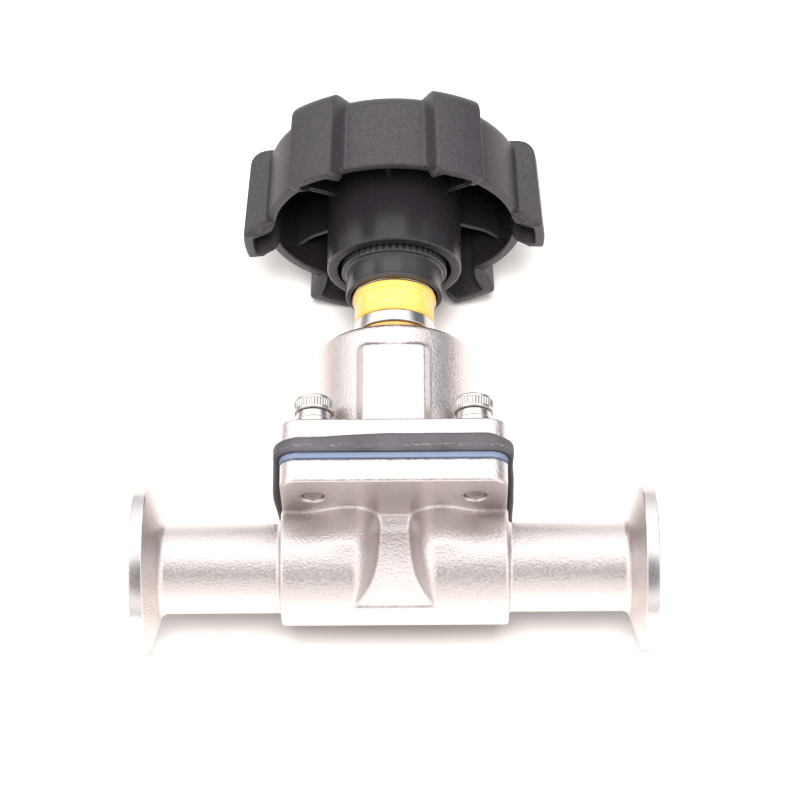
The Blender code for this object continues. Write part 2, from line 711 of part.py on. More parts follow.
def make_neck_collar(steel):
    """The turned neck: shank in the bonnet, face-seal flange, collar and ring carrier."""
    seal_depth = 2.0 * FACE_SEAL_SECTION + 2.0 * GAP
    seal_half = FACE_SEAL_SECTION + GAP
    under = BONNET_TOP_Z + GAP
    profile = [
        (SPINDLE_HOLE_RADIUS, NECK_Z[0]),
        (NECK_SHANK_RADIUS, NECK_Z[0]),
        (NECK_SHANK_RADIUS, under),
        (FACE_SEAL_RADIUS - seal_half, under),
        (FACE_SEAL_RADIUS - seal_half, under + seal_depth - GAP),
        (FACE_SEAL_RADIUS + seal_half, under + seal_depth - GAP),
        (FACE_SEAL_RADIUS + seal_half, under),
        (NECK_FLANGE_RADIUS, under),
        (NECK_FLANGE_RADIUS, NECK_FLANGE_TOP_Z),
        (NECK_RADIUS, NECK_FLANGE_TOP_Z),
        (NECK_RADIUS, COLLAR_Z[0]),
        (COLLAR_RADIUS, COLLAR_Z[0]),
        (COLLAR_RADIUS, COLLAR_Z[1]),
        (NECK_CORE_RADIUS, COLLAR_Z[1]),
        (NECK_CORE_RADIUS, NECK_Z[1]),
        (SEAL_BORE_RADIUS, NECK_Z[1]),
        (SEAL_BORE_RADIUS, BUSH_Z[0] - GAP),
    ]
    for low in reversed(SEAL_GROOVES_Z):
        top = low + SEAL_GROOVE_HEIGHT
        profile += [
            (SPINDLE_HOLE_RADIUS, min(top + 0.3 * MM, BUSH_Z[0] - GAP)),
            (SPINDLE_HOLE_RADIUS, top),
            (SEAL_BORE_RADIUS, top),
            (SEAL_BORE_RADIUS, low),
            (SPINDLE_HOLE_RADIUS, low),
        ]
    return make_object("neck_collar", turned(profile, RING_ROUND, closed=True), steel)


def make_seals(rubber):
    for name, low in zip(("spindle_o_ring_lower", "spindle_o_ring_upper"), SEAL_GROOVES_Z):
        height = low + SEAL_GROOVE_HEIGHT / 2.0
        make_object(name, o_ring(SEAL_CENTRE_RADIUS, SEAL_SECTION_RADIUS, height), rubber)
    height = BONNET_TOP_Z + GAP + FACE_SEAL_SECTION
    make_object("neck_o_ring", o_ring(FACE_SEAL_RADIUS, FACE_SEAL_SECTION, height, RING_ROUND), rubber)


def make_neck_spacer(bronze):
    """A split ring in the neck's groove, between its flange and its collar."""
    low = NECK_FLANGE_TOP_Z + GAP
    high = COLLAR_Z[0] - GAP
    ring = washer(NECK_RADIUS + GAP, SPACER_RADIUS, low, high, RING_ROUND)
    spacer = make_object("neck_spacer_ring", ring, bronze)
    split = box((-0.5 * MM, NECK_RADIUS, low - OVERSHOOT), (0.5 * MM, COLLAR_RADIUS, high + OVERSHOOT))
    cut(spacer, make_object("spacer_split", split))


def make_thread_bush(bronze):
    flange_low = NECK_Z[1] + GAP
    profile = (
        (BUSH_BORE_RADIUS, BUSH_Z[0]),
        (BUSH_RADIUS, BUSH_Z[0]),
        (BUSH_RADIUS, flange_low),
        (NECK_CORE_RADIUS, flange_low),
        (NECK_CORE_RADIUS, BUSH_Z[1]),
        (BUSH_BORE_RADIUS, BUSH_Z[1]),
    )
    return make_object("thread_bush", turned(profile, SMALL_ROUND, closed=True), bronze)


def make_indicator_ring(yellow):
    inner = NECK_CORE_RADIUS + GAP
    low, high = INDICATOR_Z
    step = high - INDICATOR_LIP_HEIGHT
    profile = (
        (inner, low),
        (INDICATOR_RADIUS - 0.3 * MM, low),
        (INDICATOR_RADIUS, low + 0.4 * MM),
        (INDICATOR_RADIUS, step - 0.6 * MM),
        (INDICATOR_LIP_RADIUS, step),
        (INDICATOR_LIP_RADIUS, high - 0.4 * MM),
        (INDICATOR_LIP_RADIUS - 0.4 * MM, high),
        (inner, high),
    )
    return make_object("indicator_ring", turned(profile, BORE_ROUND, closed=True), yellow)


def make_indicator_retainer(steel):
    ring = washer(NECK_CORE_RADIUS + GAP, RETAINER_RADIUS, *RETAINER_Z, BORE_ROUND)
    return make_object("indicator_retainer", ring, steel)


def hexagon(size, low, high):
    points = ring_points(size / math.sqrt(3.0), low, 6)
    return loft([points, [Vector((p.x, p.y, high)) for p in points]])


def make_screws(steel):
    """Cap screws, each with its spring washer and flat washer."""
    flat_low = SEAT_TOP_Z + GAP
    flat_high = flat_low + FLAT_WASHER_THICKNESS
    spring_low = flat_high + GAP
    spring_high = spring_low + SPRING_WASHER_THICKNESS
    head_low = spring_high + GAP
    head_high = head_low + SCREW_HEAD_HEIGHT
    bevel = 0.5 * MM
    step_z = BODY_FLANGE_Z[1] + GAP
    profile = (
        (SCREW_CORE_RADIUS - bevel, SCREW_END_Z),
        (SCREW_CORE_RADIUS, SCREW_END_Z + bevel),
        (SCREW_CORE_RADIUS, step_z),
        (SCREW_SHANK_RADIUS, step_z),
        (SCREW_SHANK_RADIUS, head_low),
        (SCREW_HEAD_RADIUS, head_low),
        (SCREW_HEAD_RADIUS, head_high - bevel),
        (SCREW_HEAD_RADIUS - bevel, head_high),
    )
    socket = hexagon(SCREW_SOCKET_SIZE, head_high - SCREW_SOCKET_DEPTH, head_high + OVERSHOOT)
    socket_cutter = make_object("screw_socket", socket)
    flat = (SCREW_SHANK_RADIUS + GAP, FLAT_WASHER_RADIUS, flat_low, flat_high)
    spring = (SCREW_SHANK_RADIUS + GAP, SPRING_WASHER_RADIUS, spring_low, spring_high)
    for i, place in enumerate(screw_places(), 1):
        screw = make_object(f"bonnet_screw_{i}", turned(profile, SMALL_ROUND), steel)
        own_cutter = make_object(f"screw_socket_{i}", bmesh_of(socket_cutter))
        own_cutter.location = place
        screw.location = place
        cut(screw, own_cutter)
        make_object(f"flat_washer_{i}", moved(washer(*flat), by=place), steel)
        split = box((3.0 * MM, -0.5 * MM, spring_low - OVERSHOOT),
                    (7.0 * MM, 0.5 * MM, spring_high + OVERSHOOT))
        split_cutter = make_object(f"washer_split_{i}", moved(split, by=place))
        spring_washer = make_object(f"spring_washer_{i}", moved(washer(*spring), by=place), steel)
        cut(spring_washer, split_cutter)
    bpy.data.objects.remove(socket_cutter, do_unlink=True)


def bmesh_of(source):
    builder = bmesh.new()
    builder.from_mesh(source.data)
    return builder


def lobe_share(angle):
    """1 on a lobe, 0 in a recess, with a steep blend between them."""
    pitch = 2.0 * math.pi / LOBE_COUNT
    from_lobe = abs((angle - WHEEL_TURN + pitch / 2.0) % pitch - pitch / 2.0)
    share = (RECESS_EDGE - from_lobe) / (RECESS_EDGE - LOBE_EDGE)
    share = min(1.0, max(0.0, share))
    return share * share * (3.0 - 2.0 * share)


def skirt_angles():
    """Angles of the skirt's points, closest together where lobes meet recesses."""
    half = [LOBE_EDGE, (LOBE_EDGE + RECESS_EDGE) / 2.0, RECESS_EDGE, LOBE_SIDE]
    one_lobe = [-angle for angle in reversed(half)] + [0.0] + half + [math.radians(30.0)]
    pitch = 2.0 * math.pi / LOBE_COUNT
    return [WHEEL_TURN + pitch * lobe + angle for lobe in range(LOBE_COUNT) for angle in one_lobe]


def skirt_ring(lobe_z, lobe_radius, recess_z, recess_radius):
    ring = []
    for angle in skirt_angles():
        share = lobe_share(angle)
        radius = recess_radius + (lobe_radius - recess_radius) * share
        height = recess_z + (lobe_z - recess_z) * share
        ring.append(Vector((radius * math.cos(angle), radius * math.sin(angle), height)))
    return ring


def wheel_cup():
    outer = [skirt_ring(*levels) for levels in SKIRT_RINGS]
    ceiling = WHEEL_TOP_Z - WHEEL_ROOF
    inner = []
    for lobe_z, lobe_radius, recess_z, recess_radius in reversed(SKIRT_RINGS[:4:3]):
        thin = (lobe_z, lobe_radius - WHEEL_WALL, recess_z, recess_radius - WHEEL_WALL)
        inner.append(skirt_ring(*thin))
    crown_low = skirt_ring(ceiling, CROWN_RADII[0], ceiling, CROWN_RADII[1])
    return loft([crown_low, *inner, *outer])


def wheel_rib(index):
    angle = WHEEL_TURN + math.radians(30.0) + 2.0 * math.pi * index / LOBE_COUNT
    half = RIB_THICKNESS / 2.0
    top = WHEEL_TOP_Z - WHEEL_ROOF / 2.0
    rib = box((HUB_RADIUS - 1.5 * MM, -half, RIB_BOTTOM_Z), (RIB_OUTER_RADIUS, half, top))
    return make_object(f"wheel_rib_{index + 1}", moved(rib, turn=Matrix.Rotation(angle, 4, "Z")))


def make_handwheel(plastic):
    wheel = make_object("handwheel", wheel_cup(), plastic)
    hub_profile = (
        (HUB_RADIUS - 0.5 * MM, HUB_BOTTOM_Z),
        (HUB_RADIUS, HUB_BOTTOM_Z + 0.5 * MM),
        (HUB_RADIUS, WHEEL_TOP_Z - WHEEL_ROOF / 2.0),
    )
    join(wheel, make_object("wheel_hub", turned(hub_profile)))
    join(wheel, *[wheel_rib(i) for i in range(LOBE_COUNT)])
    bore = rod(HUB_BORE_RADIUS, HUB_BOTTOM_Z - OVERSHOOT, HUB_FLOOR_Z, ROUND)
    well = rod(NUT_WELL_RADIUS, NUT_WELL_BOTTOM_Z, WHEEL_TOP_Z + OVERSHOOT, BORE_ROUND)
    half = SQUARE_SIZE / 2.0 + GAP
    square = box((-half, -half, HUB_FLOOR_Z - OVERSHOOT), (half, half, NUT_WELL_BOTTOM_Z + OVERSHOOT))
    cut(wheel, make_object("hub_bore", bore), make_object("nut_well", well))
    cut(wheel, make_object("hub_square", square))
    return wheel


def make_travel_stop_sleeve(plastic):
    """A tube with a raised ring, closed at the top by a web with a square hole."""
    low, high = SLEEVE_Z
    edge = 0.3 * MM
    profile = (
        (SLEEVE_BORE_RADIUS, high - SLEEVE_WEB),
        (SLEEVE_BORE_RADIUS, low),
        (SLEEVE_RADIUS - edge, low),
        (SLEEVE_RADIUS, low + edge),
        (SLEEVE_RADIUS, SLEEVE_RING_Z[0]),
        (SLEEVE_RING_RADIUS, SLEEVE_RING_Z[0]),
        (SLEEVE_RING_RADIUS, SLEEVE_RING_Z[1]),
        (SLEEVE_RADIUS, SLEEVE_RING_Z[1]),
        (SLEEVE_RADIUS, high),
    )
    sleeve = make_object("travel_stop_sleeve", turned(profile), plastic)
    half = SQUARE_SIZE / 2.0 + GAP
    hole = box((-half, -half, high - SLEEVE_WEB - OVERSHOOT), (half, half, high + OVERSHOOT))
    cut(sleeve, make_object("sleeve_square", hole))
    return sleeve


def make_wheel_fasteners(steel, plastic):
    low = NUT_WELL_BOTTOM_Z + GAP
    high = low + WHEEL_WASHER_THICKNESS
    hole = SPINDLE_TOP_RADIUS + GAP
    make_object("handwheel_washer", washer(hole, WHEEL_WASHER_RADIUS, low, high), steel)
    nut_low = high + GAP
    nut = make_object("handwheel_nut", hexagon(NUT_SIZE, nut_low, nut_low + NUT_HEIGHT), steel)
    nut_bore = rod(hole, nut_low - OVERSHOOT, nut_low + NUT_HEIGHT + OVERSHOOT)
    cut(nut, make_object("nut_bore", nut_bore))
    cap_low = WHEEL_TOP_Z - CAP_THICKNESS
    cap_radius = NUT_WELL_RADIUS - GAP
    bevel = 1.0 * MM
    profile = (
        (cap_radius, cap_low),
        (cap_radius, WHEEL_TOP_Z - bevel),
        (cap_radius - bevel, WHEEL_TOP_Z - 0.2 * MM),
    )
    make_object("handwheel_cap", turned(profile, BORE_ROUND), plastic)


def place_origins():
    """Moving pieces turn and slide along the stem axis, which runs through the origin."""
    stem = bpy.data.objects.new("stem_axis", None)
    bpy.context.scene.collection.objects.link(stem)
    moving = (
        "compressor", "spindle_pin_1", "spindle_pin_2", "thrust_washer", "diaphragm_stud",
        "spindle", "travel_stop_sleeve", "handwheel", "handwheel_washer", "handwheel_nut",
        "handwheel_cap",
    )
    for name in moving:
        bpy.data.objects[name].parent = stem


def main():
    clear_scene()
    cast_steel = make_material("cast_steel", (0.62, 0.60, 0.57), 0.38, 1.0)
    turned_steel = make_material("turned_steel", (0.70, 0.69, 0.67), 0.18, 1.0)
    screw_steel = make_material("screw_steel", (0.66, 0.65, 0.63), 0.25, 1.0)
    bronze = make_material("bronze", (0.55, 0.38, 0.18), 0.35, 1.0)
    ptfe = make_material("ptfe", (0.36, 0.46, 0.66), 0.45, 0.0)
    epdm = make_material("epdm", (0.03, 0.028, 0.03), 0.7, 0.0)
    yellow = make_material("indicator_yellow", (0.95, 0.60, 0.03), 0.3, 0.0)
    black_plastic = make_material("black_plastic", (0.018, 0.016, 0.018), 0.55, 0.0)

    make_valve_body(cast_steel)
    make_bonnet(cast_steel)
    make_diaphragm_face(ptfe)
    make_diaphragm_backing(epdm)
    make_diaphragm_stud(turned_steel)
    make_compressor(cast_steel)
    make_spindle_pins(turned_steel)
    make_thrust_washer(bronze)
    make_spindle(turned_steel)
    make_neck_collar(turned_steel)
    make_seals(epdm)
    make_neck_spacer(bronze)
    make_thread_bush(bronze)
    make_indicator_ring(yellow)
    make_indicator_retainer(turned_steel)
    make_screws(screw_steel)
    make_handwheel(black_plastic)
    make_travel_stop_sleeve(black_plastic)
    make_wheel_fasteners(screw_steel, black_plastic)
    place_origins()


main()
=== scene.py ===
"""Looks of the diaphragm valve: fine meshes, materials, studio and camera.

Shapes are drawn in millimetres and scaled to metres by add_piece; materials, camera and
table are in metres.
"""

import json
import math

import bpy
import numpy as np
from mathutils import Matrix, Vector


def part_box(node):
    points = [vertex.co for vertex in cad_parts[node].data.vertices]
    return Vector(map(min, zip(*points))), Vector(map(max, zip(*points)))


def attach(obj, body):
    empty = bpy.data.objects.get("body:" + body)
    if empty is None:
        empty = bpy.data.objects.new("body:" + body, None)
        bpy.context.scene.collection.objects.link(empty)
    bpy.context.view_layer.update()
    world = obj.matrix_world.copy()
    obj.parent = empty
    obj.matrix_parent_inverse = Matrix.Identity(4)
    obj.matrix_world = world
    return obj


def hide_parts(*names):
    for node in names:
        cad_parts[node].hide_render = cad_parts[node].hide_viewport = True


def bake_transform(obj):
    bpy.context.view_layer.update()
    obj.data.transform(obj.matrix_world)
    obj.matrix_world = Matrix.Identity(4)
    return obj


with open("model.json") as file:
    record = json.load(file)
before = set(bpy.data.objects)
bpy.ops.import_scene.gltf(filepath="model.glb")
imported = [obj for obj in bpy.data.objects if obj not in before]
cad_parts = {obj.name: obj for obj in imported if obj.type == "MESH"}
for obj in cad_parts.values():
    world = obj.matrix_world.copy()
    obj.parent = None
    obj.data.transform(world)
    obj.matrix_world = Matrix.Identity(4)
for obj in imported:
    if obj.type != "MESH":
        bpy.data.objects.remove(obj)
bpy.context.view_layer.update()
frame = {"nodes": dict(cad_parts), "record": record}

MM = 0.001  # metres in a millimetre
GAP = 0.3  # left between neighbours in the frame

# ---- sizes read from the frame


def box_of(node):
    """A CAD node's box, in millimetres."""
    low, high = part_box(node)
    return low / MM, high / MM


BODY_LOW, BODY_HIGH = box_of("valve_body")
BONNET_LOW, BONNET_HIGH = box_of("bonnet")
BACKING_LOW, BACKING_HIGH = box_of("diaphragm_backing")
WHEEL_LOW, WHEEL_HIGH = box_of("handwheel")
SLEEVE_LOW, SLEEVE_HIGH = box_of("travel_stop_sleeve")
NECK_LOW, NECK_HIGH = box_of("neck_collar")
RING_LOW, RING_HIGH = box_of("indicator_ring")
RETAINER_LOW, RETAINER_HIGH = box_of("indicator_retainer")

HALF_LENGTH = BODY_HIGH.x
FERRULE_RADIUS = -BODY_LOW.z
FLANGE_X = BONNET_HIGH.x
FLANGE_Y = BONNET_HIGH.y
FLANGE_CORNER = 5.5
BODY_TOP = 21.5
BODY_FLANGE_LOW = 14.1
BONNET_FLANGE_TOP = BONNET_LOW.z + 6.7
SEAT_TOP = box_of("flat_washer_1")[0].z - GAP
LAND = 4.0
NECK_FLANGE_TOP = box_of("neck_spacer_ring")[0].z - GAP
NECK_GROOVE_TOP = box_of("neck_spacer_ring")[1].z + GAP
TUBE_RADIUS = 13.6
BORE_RADIUS = 11.1
BODY_RADIUS = 17.45
BODY_HALF = 34.5
SCREW_X = sum(corner.x for corner in box_of("bonnet_screw_2")) / 2.0
SCREW_Y = sum(corner.y for corner in box_of("bonnet_screw_3")) / 2.0
SCREW_CLEARANCE = 4.2
DRIVE_SQUARE = 8.6
TAU = 2.0 * math.pi
FINE = 0.6  # cell size of the castings' surfaces


# ---- materials


class Nodes:
    """A material being built: short calls that add and join shader nodes."""

    def __init__(self, name):
        self.material = bpy.data.materials.new(name)
        self.material.use_nodes = True
        self.tree = self.material.node_tree
        self.shader = self.tree.nodes["Principled BSDF"]
        self.place = self.tree.nodes.new("ShaderNodeTexCoord").outputs["Object"]

    def link(self, source, target):
        self.tree.links.new(source, target)

    def stretched(self, x, y, z):
        """The place scaled by a different amount along each axis."""
        node = self.tree.nodes.new("ShaderNodeMapping")
        node.inputs["Scale"].default_value = (x, y, z)
        self.link(self.place, node.inputs["Vector"])
        return node.outputs["Vector"]

    def noise(self, scale, detail=3.0, roughness=0.55, place=None):
        node = self.tree.nodes.new("ShaderNodeTexNoise")
        node.inputs["Scale"].default_value = scale
        node.inputs["Detail"].default_value = detail
        node.inputs["Roughness"].default_value = roughness
        self.link(place or self.place, node.inputs["Vector"])
        return node.outputs["Fac"]

    def ranged(self, value, low, high, to_low=0.0, to_high=1.0):
        node = self.tree.nodes.new("ShaderNodeMapRange")
        node.inputs["From Min"].default_value = low
        node.inputs["From Max"].default_value = high
        node.inputs["To Min"].default_value = to_low
        node.inputs["To Max"].default_value = to_high
        self.link(value, node.inputs["Value"])
        return node.outputs["Result"]

    def mixed(self, share, first, second):
        node = self.tree.nodes.new("ShaderNodeMix")
        node.data_type = "RGBA"
        self.link(share, node.inputs["Factor"])
        for socket, value in ((node.inputs["A"], first), (node.inputs["B"], second)):
            if isinstance(value, tuple):
                socket.default_value = (*value, 1.0)
            else:
                self.link(value, socket)
        return node.outputs["Result"]

    def math(self, operation, first, second):
        node = self.tree.nodes.new("ShaderNodeMath")
        node.operation = operation
        for socket, value in zip(node.inputs, (first, second)):
            if isinstance(value, (int, float)):
                socket.default_value = value
            else:
                self.link(value, socket)
        return node.outputs["Value"]

    def axis(self, name):
        node = self.tree.nodes.new("ShaderNodeSeparateXYZ")
        self.link(self.place, node.inputs["Vector"])
        return node.outputs[name]

    def bump(self, height, distance, strength=1.0, normal=None):
        node = self.tree.nodes.new("ShaderNodeBump")
        node.inputs["Distance"].default_value = distance
        node.inputs["Strength"].default_value = strength
        self.link(height, node.inputs["Height"])
        if normal:
            self.link(normal, node.inputs["Normal"])
        return node.outputs["Normal"]

    def finish(self, color, roughness, normal=None, **sockets):
        for name, value in (("Base Color", color), ("Roughness", roughness)):
            if isinstance(value, tuple):
                self.shader.inputs[name].default_value = (*value, 1.0)
            elif isinstance(value, float):
                self.shader.inputs[name].default_value = value
            else:
                self.link(value, self.shader.inputs[name])
        if normal:
            self.link(normal, self.shader.inputs["Normal"])
        for name, value in sockets.items():
            self.shader.inputs[name.replace("_", " ")].default_value = value
        return self.material


def cast_steel(rim=False):
    """Shot-blasted investment casting: fine orange peel over a slightly uneven skin."""
    n = Nodes("ferrule_steel" if rim else "shot_blasted_steel")
    pits = n.noise(2600.0, 2.0, 0.6)
    grain = n.noise(1400.0, 2.0, 0.5)
    waves = n.noise(140.0, 2.0)
    normal = n.bump(waves, 0.5 * MM, 0.12)
    normal = n.bump(grain, 0.24 * MM, 0.75, normal)
    normal = n.bump(pits, 0.06 * MM, 0.40, normal)
    tone = n.mixed(n.ranged(grain, 0.3, 0.7), (0.61, 0.560, 0.549), (0.67, 0.618, 0.607))
    stain = n.ranged(n.noise(60.0, 4.0, 0.6), 0.55, 0.85)
    color = n.mixed(stain, tone, (0.60, 0.548, 0.536))
    roughness = n.ranged(grain, 0.3, 0.7, 0.31, 0.41)
    if rim:
        out = n.math("SQRT", n.math("ADD", n.math("POWER", n.axis("Y"), 2.0),
                                    n.math("POWER", n.axis("Z"), 2.0)), 0.0)
        turned = n.ranged(out, (FERRULE_RADIUS - 0.35) * MM, (FERRULE_RADIUS - 0.2) * MM)
        marks = n.noise(1.0, 2.0, 0.6, n.stretched(4200.0, 90.0, 90.0))
        shine = n.bump(marks, 0.03 * MM, 0.35)
        normal = n.mixed(turned, normal, shine)
        color = n.mixed(turned, color, (0.60, 0.575, 0.575))
        roughness = n.math("SUBTRACT", roughness, n.math("MULTIPLY", turned, 0.12))
    return n.finish(color, roughness, normal, Metallic=1.0)


def turned_steel():
    """Machined stainless with faint turning marks round the stem."""
    n = Nodes("turned_steel")
    marks = n.noise(1.0, 2.0, 0.6, n.stretched(60.0, 60.0, 5200.0))
    dents = n.noise(420.0, 2.0)
    normal = n.bump(marks, 0.04 * MM, 0.35)
    normal = n.bump(dents, 0.06 * MM, 0.2, normal)
    color = n.mixed(marks, (0.50, 0.475, 0.46), (0.60, 0.58, 0.565))
    roughness = n.ranged(dents, 0.3, 0.7, 0.12, 0.22)
    return n.finish(color, roughness, normal, Metallic=1.0)


def screw_steel():
    n = Nodes("screw_steel")
    stains = n.noise(500.0, 3.0)
    scratches = n.noise(1.0, 2.0, 0.6, n.stretched(2600.0, 2600.0, 260.0))
    normal = n.bump(stains, 0.05 * MM, 0.25)
    normal = n.bump(scratches, 0.03 * MM, 0.3, normal)
    color = n.mixed(stains, (0.50, 0.48, 0.465), (0.62, 0.60, 0.585))
    roughness = n.ranged(stains, 0.3, 0.7, 0.14, 0.26)
    return n.finish(color, roughness, normal, Metallic=1.0)


def bronze():
    n = Nodes("turned_bronze")
    stains = n.noise(300.0, 3.0)
    normal = n.bump(stains, 0.06 * MM, 0.3)
    color = n.mixed(stains, (0.62, 0.34, 0.10), (0.78, 0.48, 0.18))
    roughness = n.ranged(stains, 0.3, 0.7, 0.22, 0.36)
    return n.finish(color, roughness, normal, Metallic=1.0)


def ptfe():
    n = Nodes("ptfe_sheet")
    haze = n.noise(160.0, 3.0)
    normal = n.bump(n.noise(1500.0, 2.0), 0.05 * MM, 0.3)
    color = n.mixed(haze, (0.082, 0.102, 0.150), (0.100, 0.122, 0.176))
    roughness = n.ranged(haze, 0.3, 0.7, 0.5, 0.65)
    return n.finish(color, roughness, normal, Specular_IOR_Level=0.3)


def epdm():
    """Moulded black rubber, dusty and matte, with pale streaks in a thin band low on the rim:
    partly scuffs, partly a painted highlight line along the rim's lower edge.
    """
    n = Nodes("epdm_rubber")
    dust = n.noise(90.0, 4.0, 0.65)
    skin = n.noise(1400.0, 2.0)
    normal = n.bump(n.noise(60.0, 2.0), 0.3 * MM, 0.35)
    normal = n.bump(skin, 0.08 * MM, 0.5, normal)
    tone = n.mixed(n.ranged(dust, 0.35, 0.75), (0.028, 0.0255, 0.029), (0.054, 0.0495, 0.055))
    # Pale streaks in a thin band 1.1 mm above the rubber's lower face: partly scuffs, partly a
    # painted highlight along the rim's lower edge.
    scuff_and_sheen_streaks = n.ranged(n.noise(1.0, 3.0, 0.7, n.stretched(480.0, 480.0, 2600.0)), 0.54, 0.66)
    scuff_and_highlight_height = (BACKING_LOW.z + 1.1) * MM
    above = n.ranged(n.axis("Z"), scuff_and_highlight_height + 0.6 * MM, scuff_and_highlight_height + 0.1 * MM)
    below = n.ranged(n.axis("Z"), scuff_and_highlight_height - 0.6 * MM, scuff_and_highlight_height - 0.1 * MM)
    scuff_and_sheen_streaks = n.math("MULTIPLY", n.math("MULTIPLY", above, below), scuff_and_sheen_streaks)
    color = n.mixed(n.math("MULTIPLY", scuff_and_sheen_streaks, 0.6), tone, (0.20, 0.19, 0.20))
    roughness = n.ranged(dust, 0.3, 0.7, 0.45, 0.68)
    return n.finish(color, roughness, normal)


def indicator_yellow():
    """Glossy yellow plastic, painted darker and more orange towards its lower edge as shade, with
    pale streaks laid over it: partly scuffs, partly painted sheen.
    """
    n = Nodes("indicator_yellow")
    haze = n.noise(220.0, 3.0)
    height = n.axis("Z")
    # Pale streaks over the yellow: partly scuffs, partly painted sheen standing in for the ring's
    # brightly lit look.
    scuff_and_sheen_streaks = n.ranged(n.noise(1.0, 3.0, 0.7, n.stretched(420.0, 420.0, 1300.0)), 0.52, 0.70)
    fade = n.ranged(n.noise(90.0, 2.0), 0.40, 0.60)
    wear_and_sheen = n.math("MULTIPLY", scuff_and_sheen_streaks, fade)
    normal = n.bump(haze, 0.05 * MM, 0.25)
    # Painted shade: the colour turns darker and more orange towards the ring's lower edge.
    tone = n.mixed(n.ranged(height, 0.0826, 0.0842), (0.46, 0.22, 0.030), (0.48, 0.287, 0.058))
    color = n.mixed(n.math("MULTIPLY", wear_and_sheen, 0.75), tone, (0.62, 0.44, 0.22))
    roughness = n.ranged(haze, 0.3, 0.7, 0.22, 0.36)
    return n.finish(color, roughness, normal, Coat_Weight=0.25)


def wheel_plastic():
    """Glass-filled nylon: spark-eroded grain, dark and satin, smooth inside the cup."""
    n = Nodes("wheel_plastic")
    out = n.math("SQRT", n.math("ADD", n.math("POWER", n.axis("X"), 2.0),
                                n.math("POWER", n.axis("Y"), 2.0)), 0.0)
    under = n.ranged(n.axis("Z"), (WHEEL_HIGH.z - 1.2) * MM, (WHEEL_HIGH.z - 1.6) * MM)
    inside = n.math("MULTIPLY", under, n.ranged(out, 39.4 * MM, 38.6 * MM))
    grain = n.noise(1500.0, 2.0, 0.6)
    cloud = n.noise(45.0, 3.0)
    normal = n.bump(n.noise(110.0, 2.0), 0.25 * MM, 0.12)
    rough = n.bump(grain, 0.16 * MM, 0.55, normal)
    smooth = n.bump(grain, 0.02 * MM, 0.10, normal)
    normal = n.mixed(inside, rough, smooth)
    tone = n.mixed(cloud, (0.0072, 0.0060, 0.0074), (0.0108, 0.0090, 0.0112))
    speck = n.math("MULTIPLY", n.ranged(n.noise(1700.0, 3.0, 0.7), 0.35, 0.70),
                   n.math("SUBTRACT", 1.0, inside))
    color = n.mixed(speck, tone, (0.028, 0.0245, 0.029))
    roughness = n.math("SUBTRACT", n.ranged(grain, 0.3, 0.7, 0.36, 0.52),
                       n.math("MULTIPLY", inside, 0.14))
    return n.finish(color, roughness, normal)


def sleeve_plastic():
    n = Nodes("sleeve_plastic")
    cloud = n.noise(150.0, 3.0)
    normal = n.bump(n.noise(900.0, 2.0), 0.05 * MM, 0.3)
    color = n.mixed(cloud, (0.013, 0.0115, 0.0130), (0.021, 0.0190, 0.0210))
    roughness = n.ranged(cloud, 0.3, 0.7, 0.24, 0.36)
    return n.finish(color, roughness, normal)


MATERIALS = {
    "cast_steel": cast_steel(),
    "ferrule_steel": cast_steel(rim=True),
    "turned_steel": turned_steel(),
    "screw_steel": screw_steel(),
    "bronze": bronze(),
    "ptfe": ptfe(),
    "epdm": epdm(),
    "indicator_yellow": indicator_yellow(),
    "wheel_plastic": wheel_plastic(),
    "sleeve_plastic": sleeve_plastic(),
}


def dress_cad_nodes():
    """Gives every CAD node the material of its record slot."""
    for entry in frame["record"]["subparts"]:
        node = frame["nodes"][entry["node"]]
        node.data.materials.clear()
        node.data.materials.append(MATERIALS[entry["material_slot"]])


# ---- mesh tools


def add_piece(name, points, faces, node, slot, body, crease=35.0, look=None):
    """Makes the visible piece that stands for a CAD node, rides it and gives it its finish."""
    mesh = bpy.data.meshes.new(name)
    mesh.from_pydata((np.asarray(points) * MM).tolist(), [], faces)
    mesh.shade_smooth()
    mesh.set_sharp_from_angle(angle=math.radians(crease))
    mesh.materials.append(MATERIALS[look or slot])
    piece = bpy.data.objects.new(name, mesh)
    bpy.context.scene.collection.objects.link(piece)
    if body:
        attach(piece, body)
    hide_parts(node)
    return piece


def unit(vector):
    return vector / np.linalg.norm(vector)


def softened(corners, closed=True, steps=None):
    """An outline from (radius, height, fillet) corners, with each fillet as an arc."""
    outline = []
    count = len(corners)
    for i, (a, b, fillet) in enumerate(corners):
        here = np.array((a, b))
        if fillet == 0.0 or (not closed and i in (0, count - 1)):
            outline.append(here)
            continue
        back = unit(np.array(corners[i - 1][:2]) - here)
        on = unit(np.array(corners[(i + 1) % count][:2]) - here)
        half = math.acos(max(-1.0, min(1.0, float(back @ on)))) / 2.0
        centre = here + unit(back + on) * fillet / math.sin(half)
        first = here + back * fillet / math.tan(half) - centre
        last = here + on * fillet / math.tan(half) - centre
        start = math.atan2(first[1], first[0])
        sweep = (math.atan2(last[1], last[0]) - start + math.pi) % TAU - math.pi
        pieces = steps or max(2, math.ceil(abs(sweep) / math.radians(15.0)))
        for k in range(pieces + 1):
            angle = start + sweep * k / pieces
            outline.append(centre + fillet * np.array((math.cos(angle), math.sin(angle))))
    return np.array(outline)


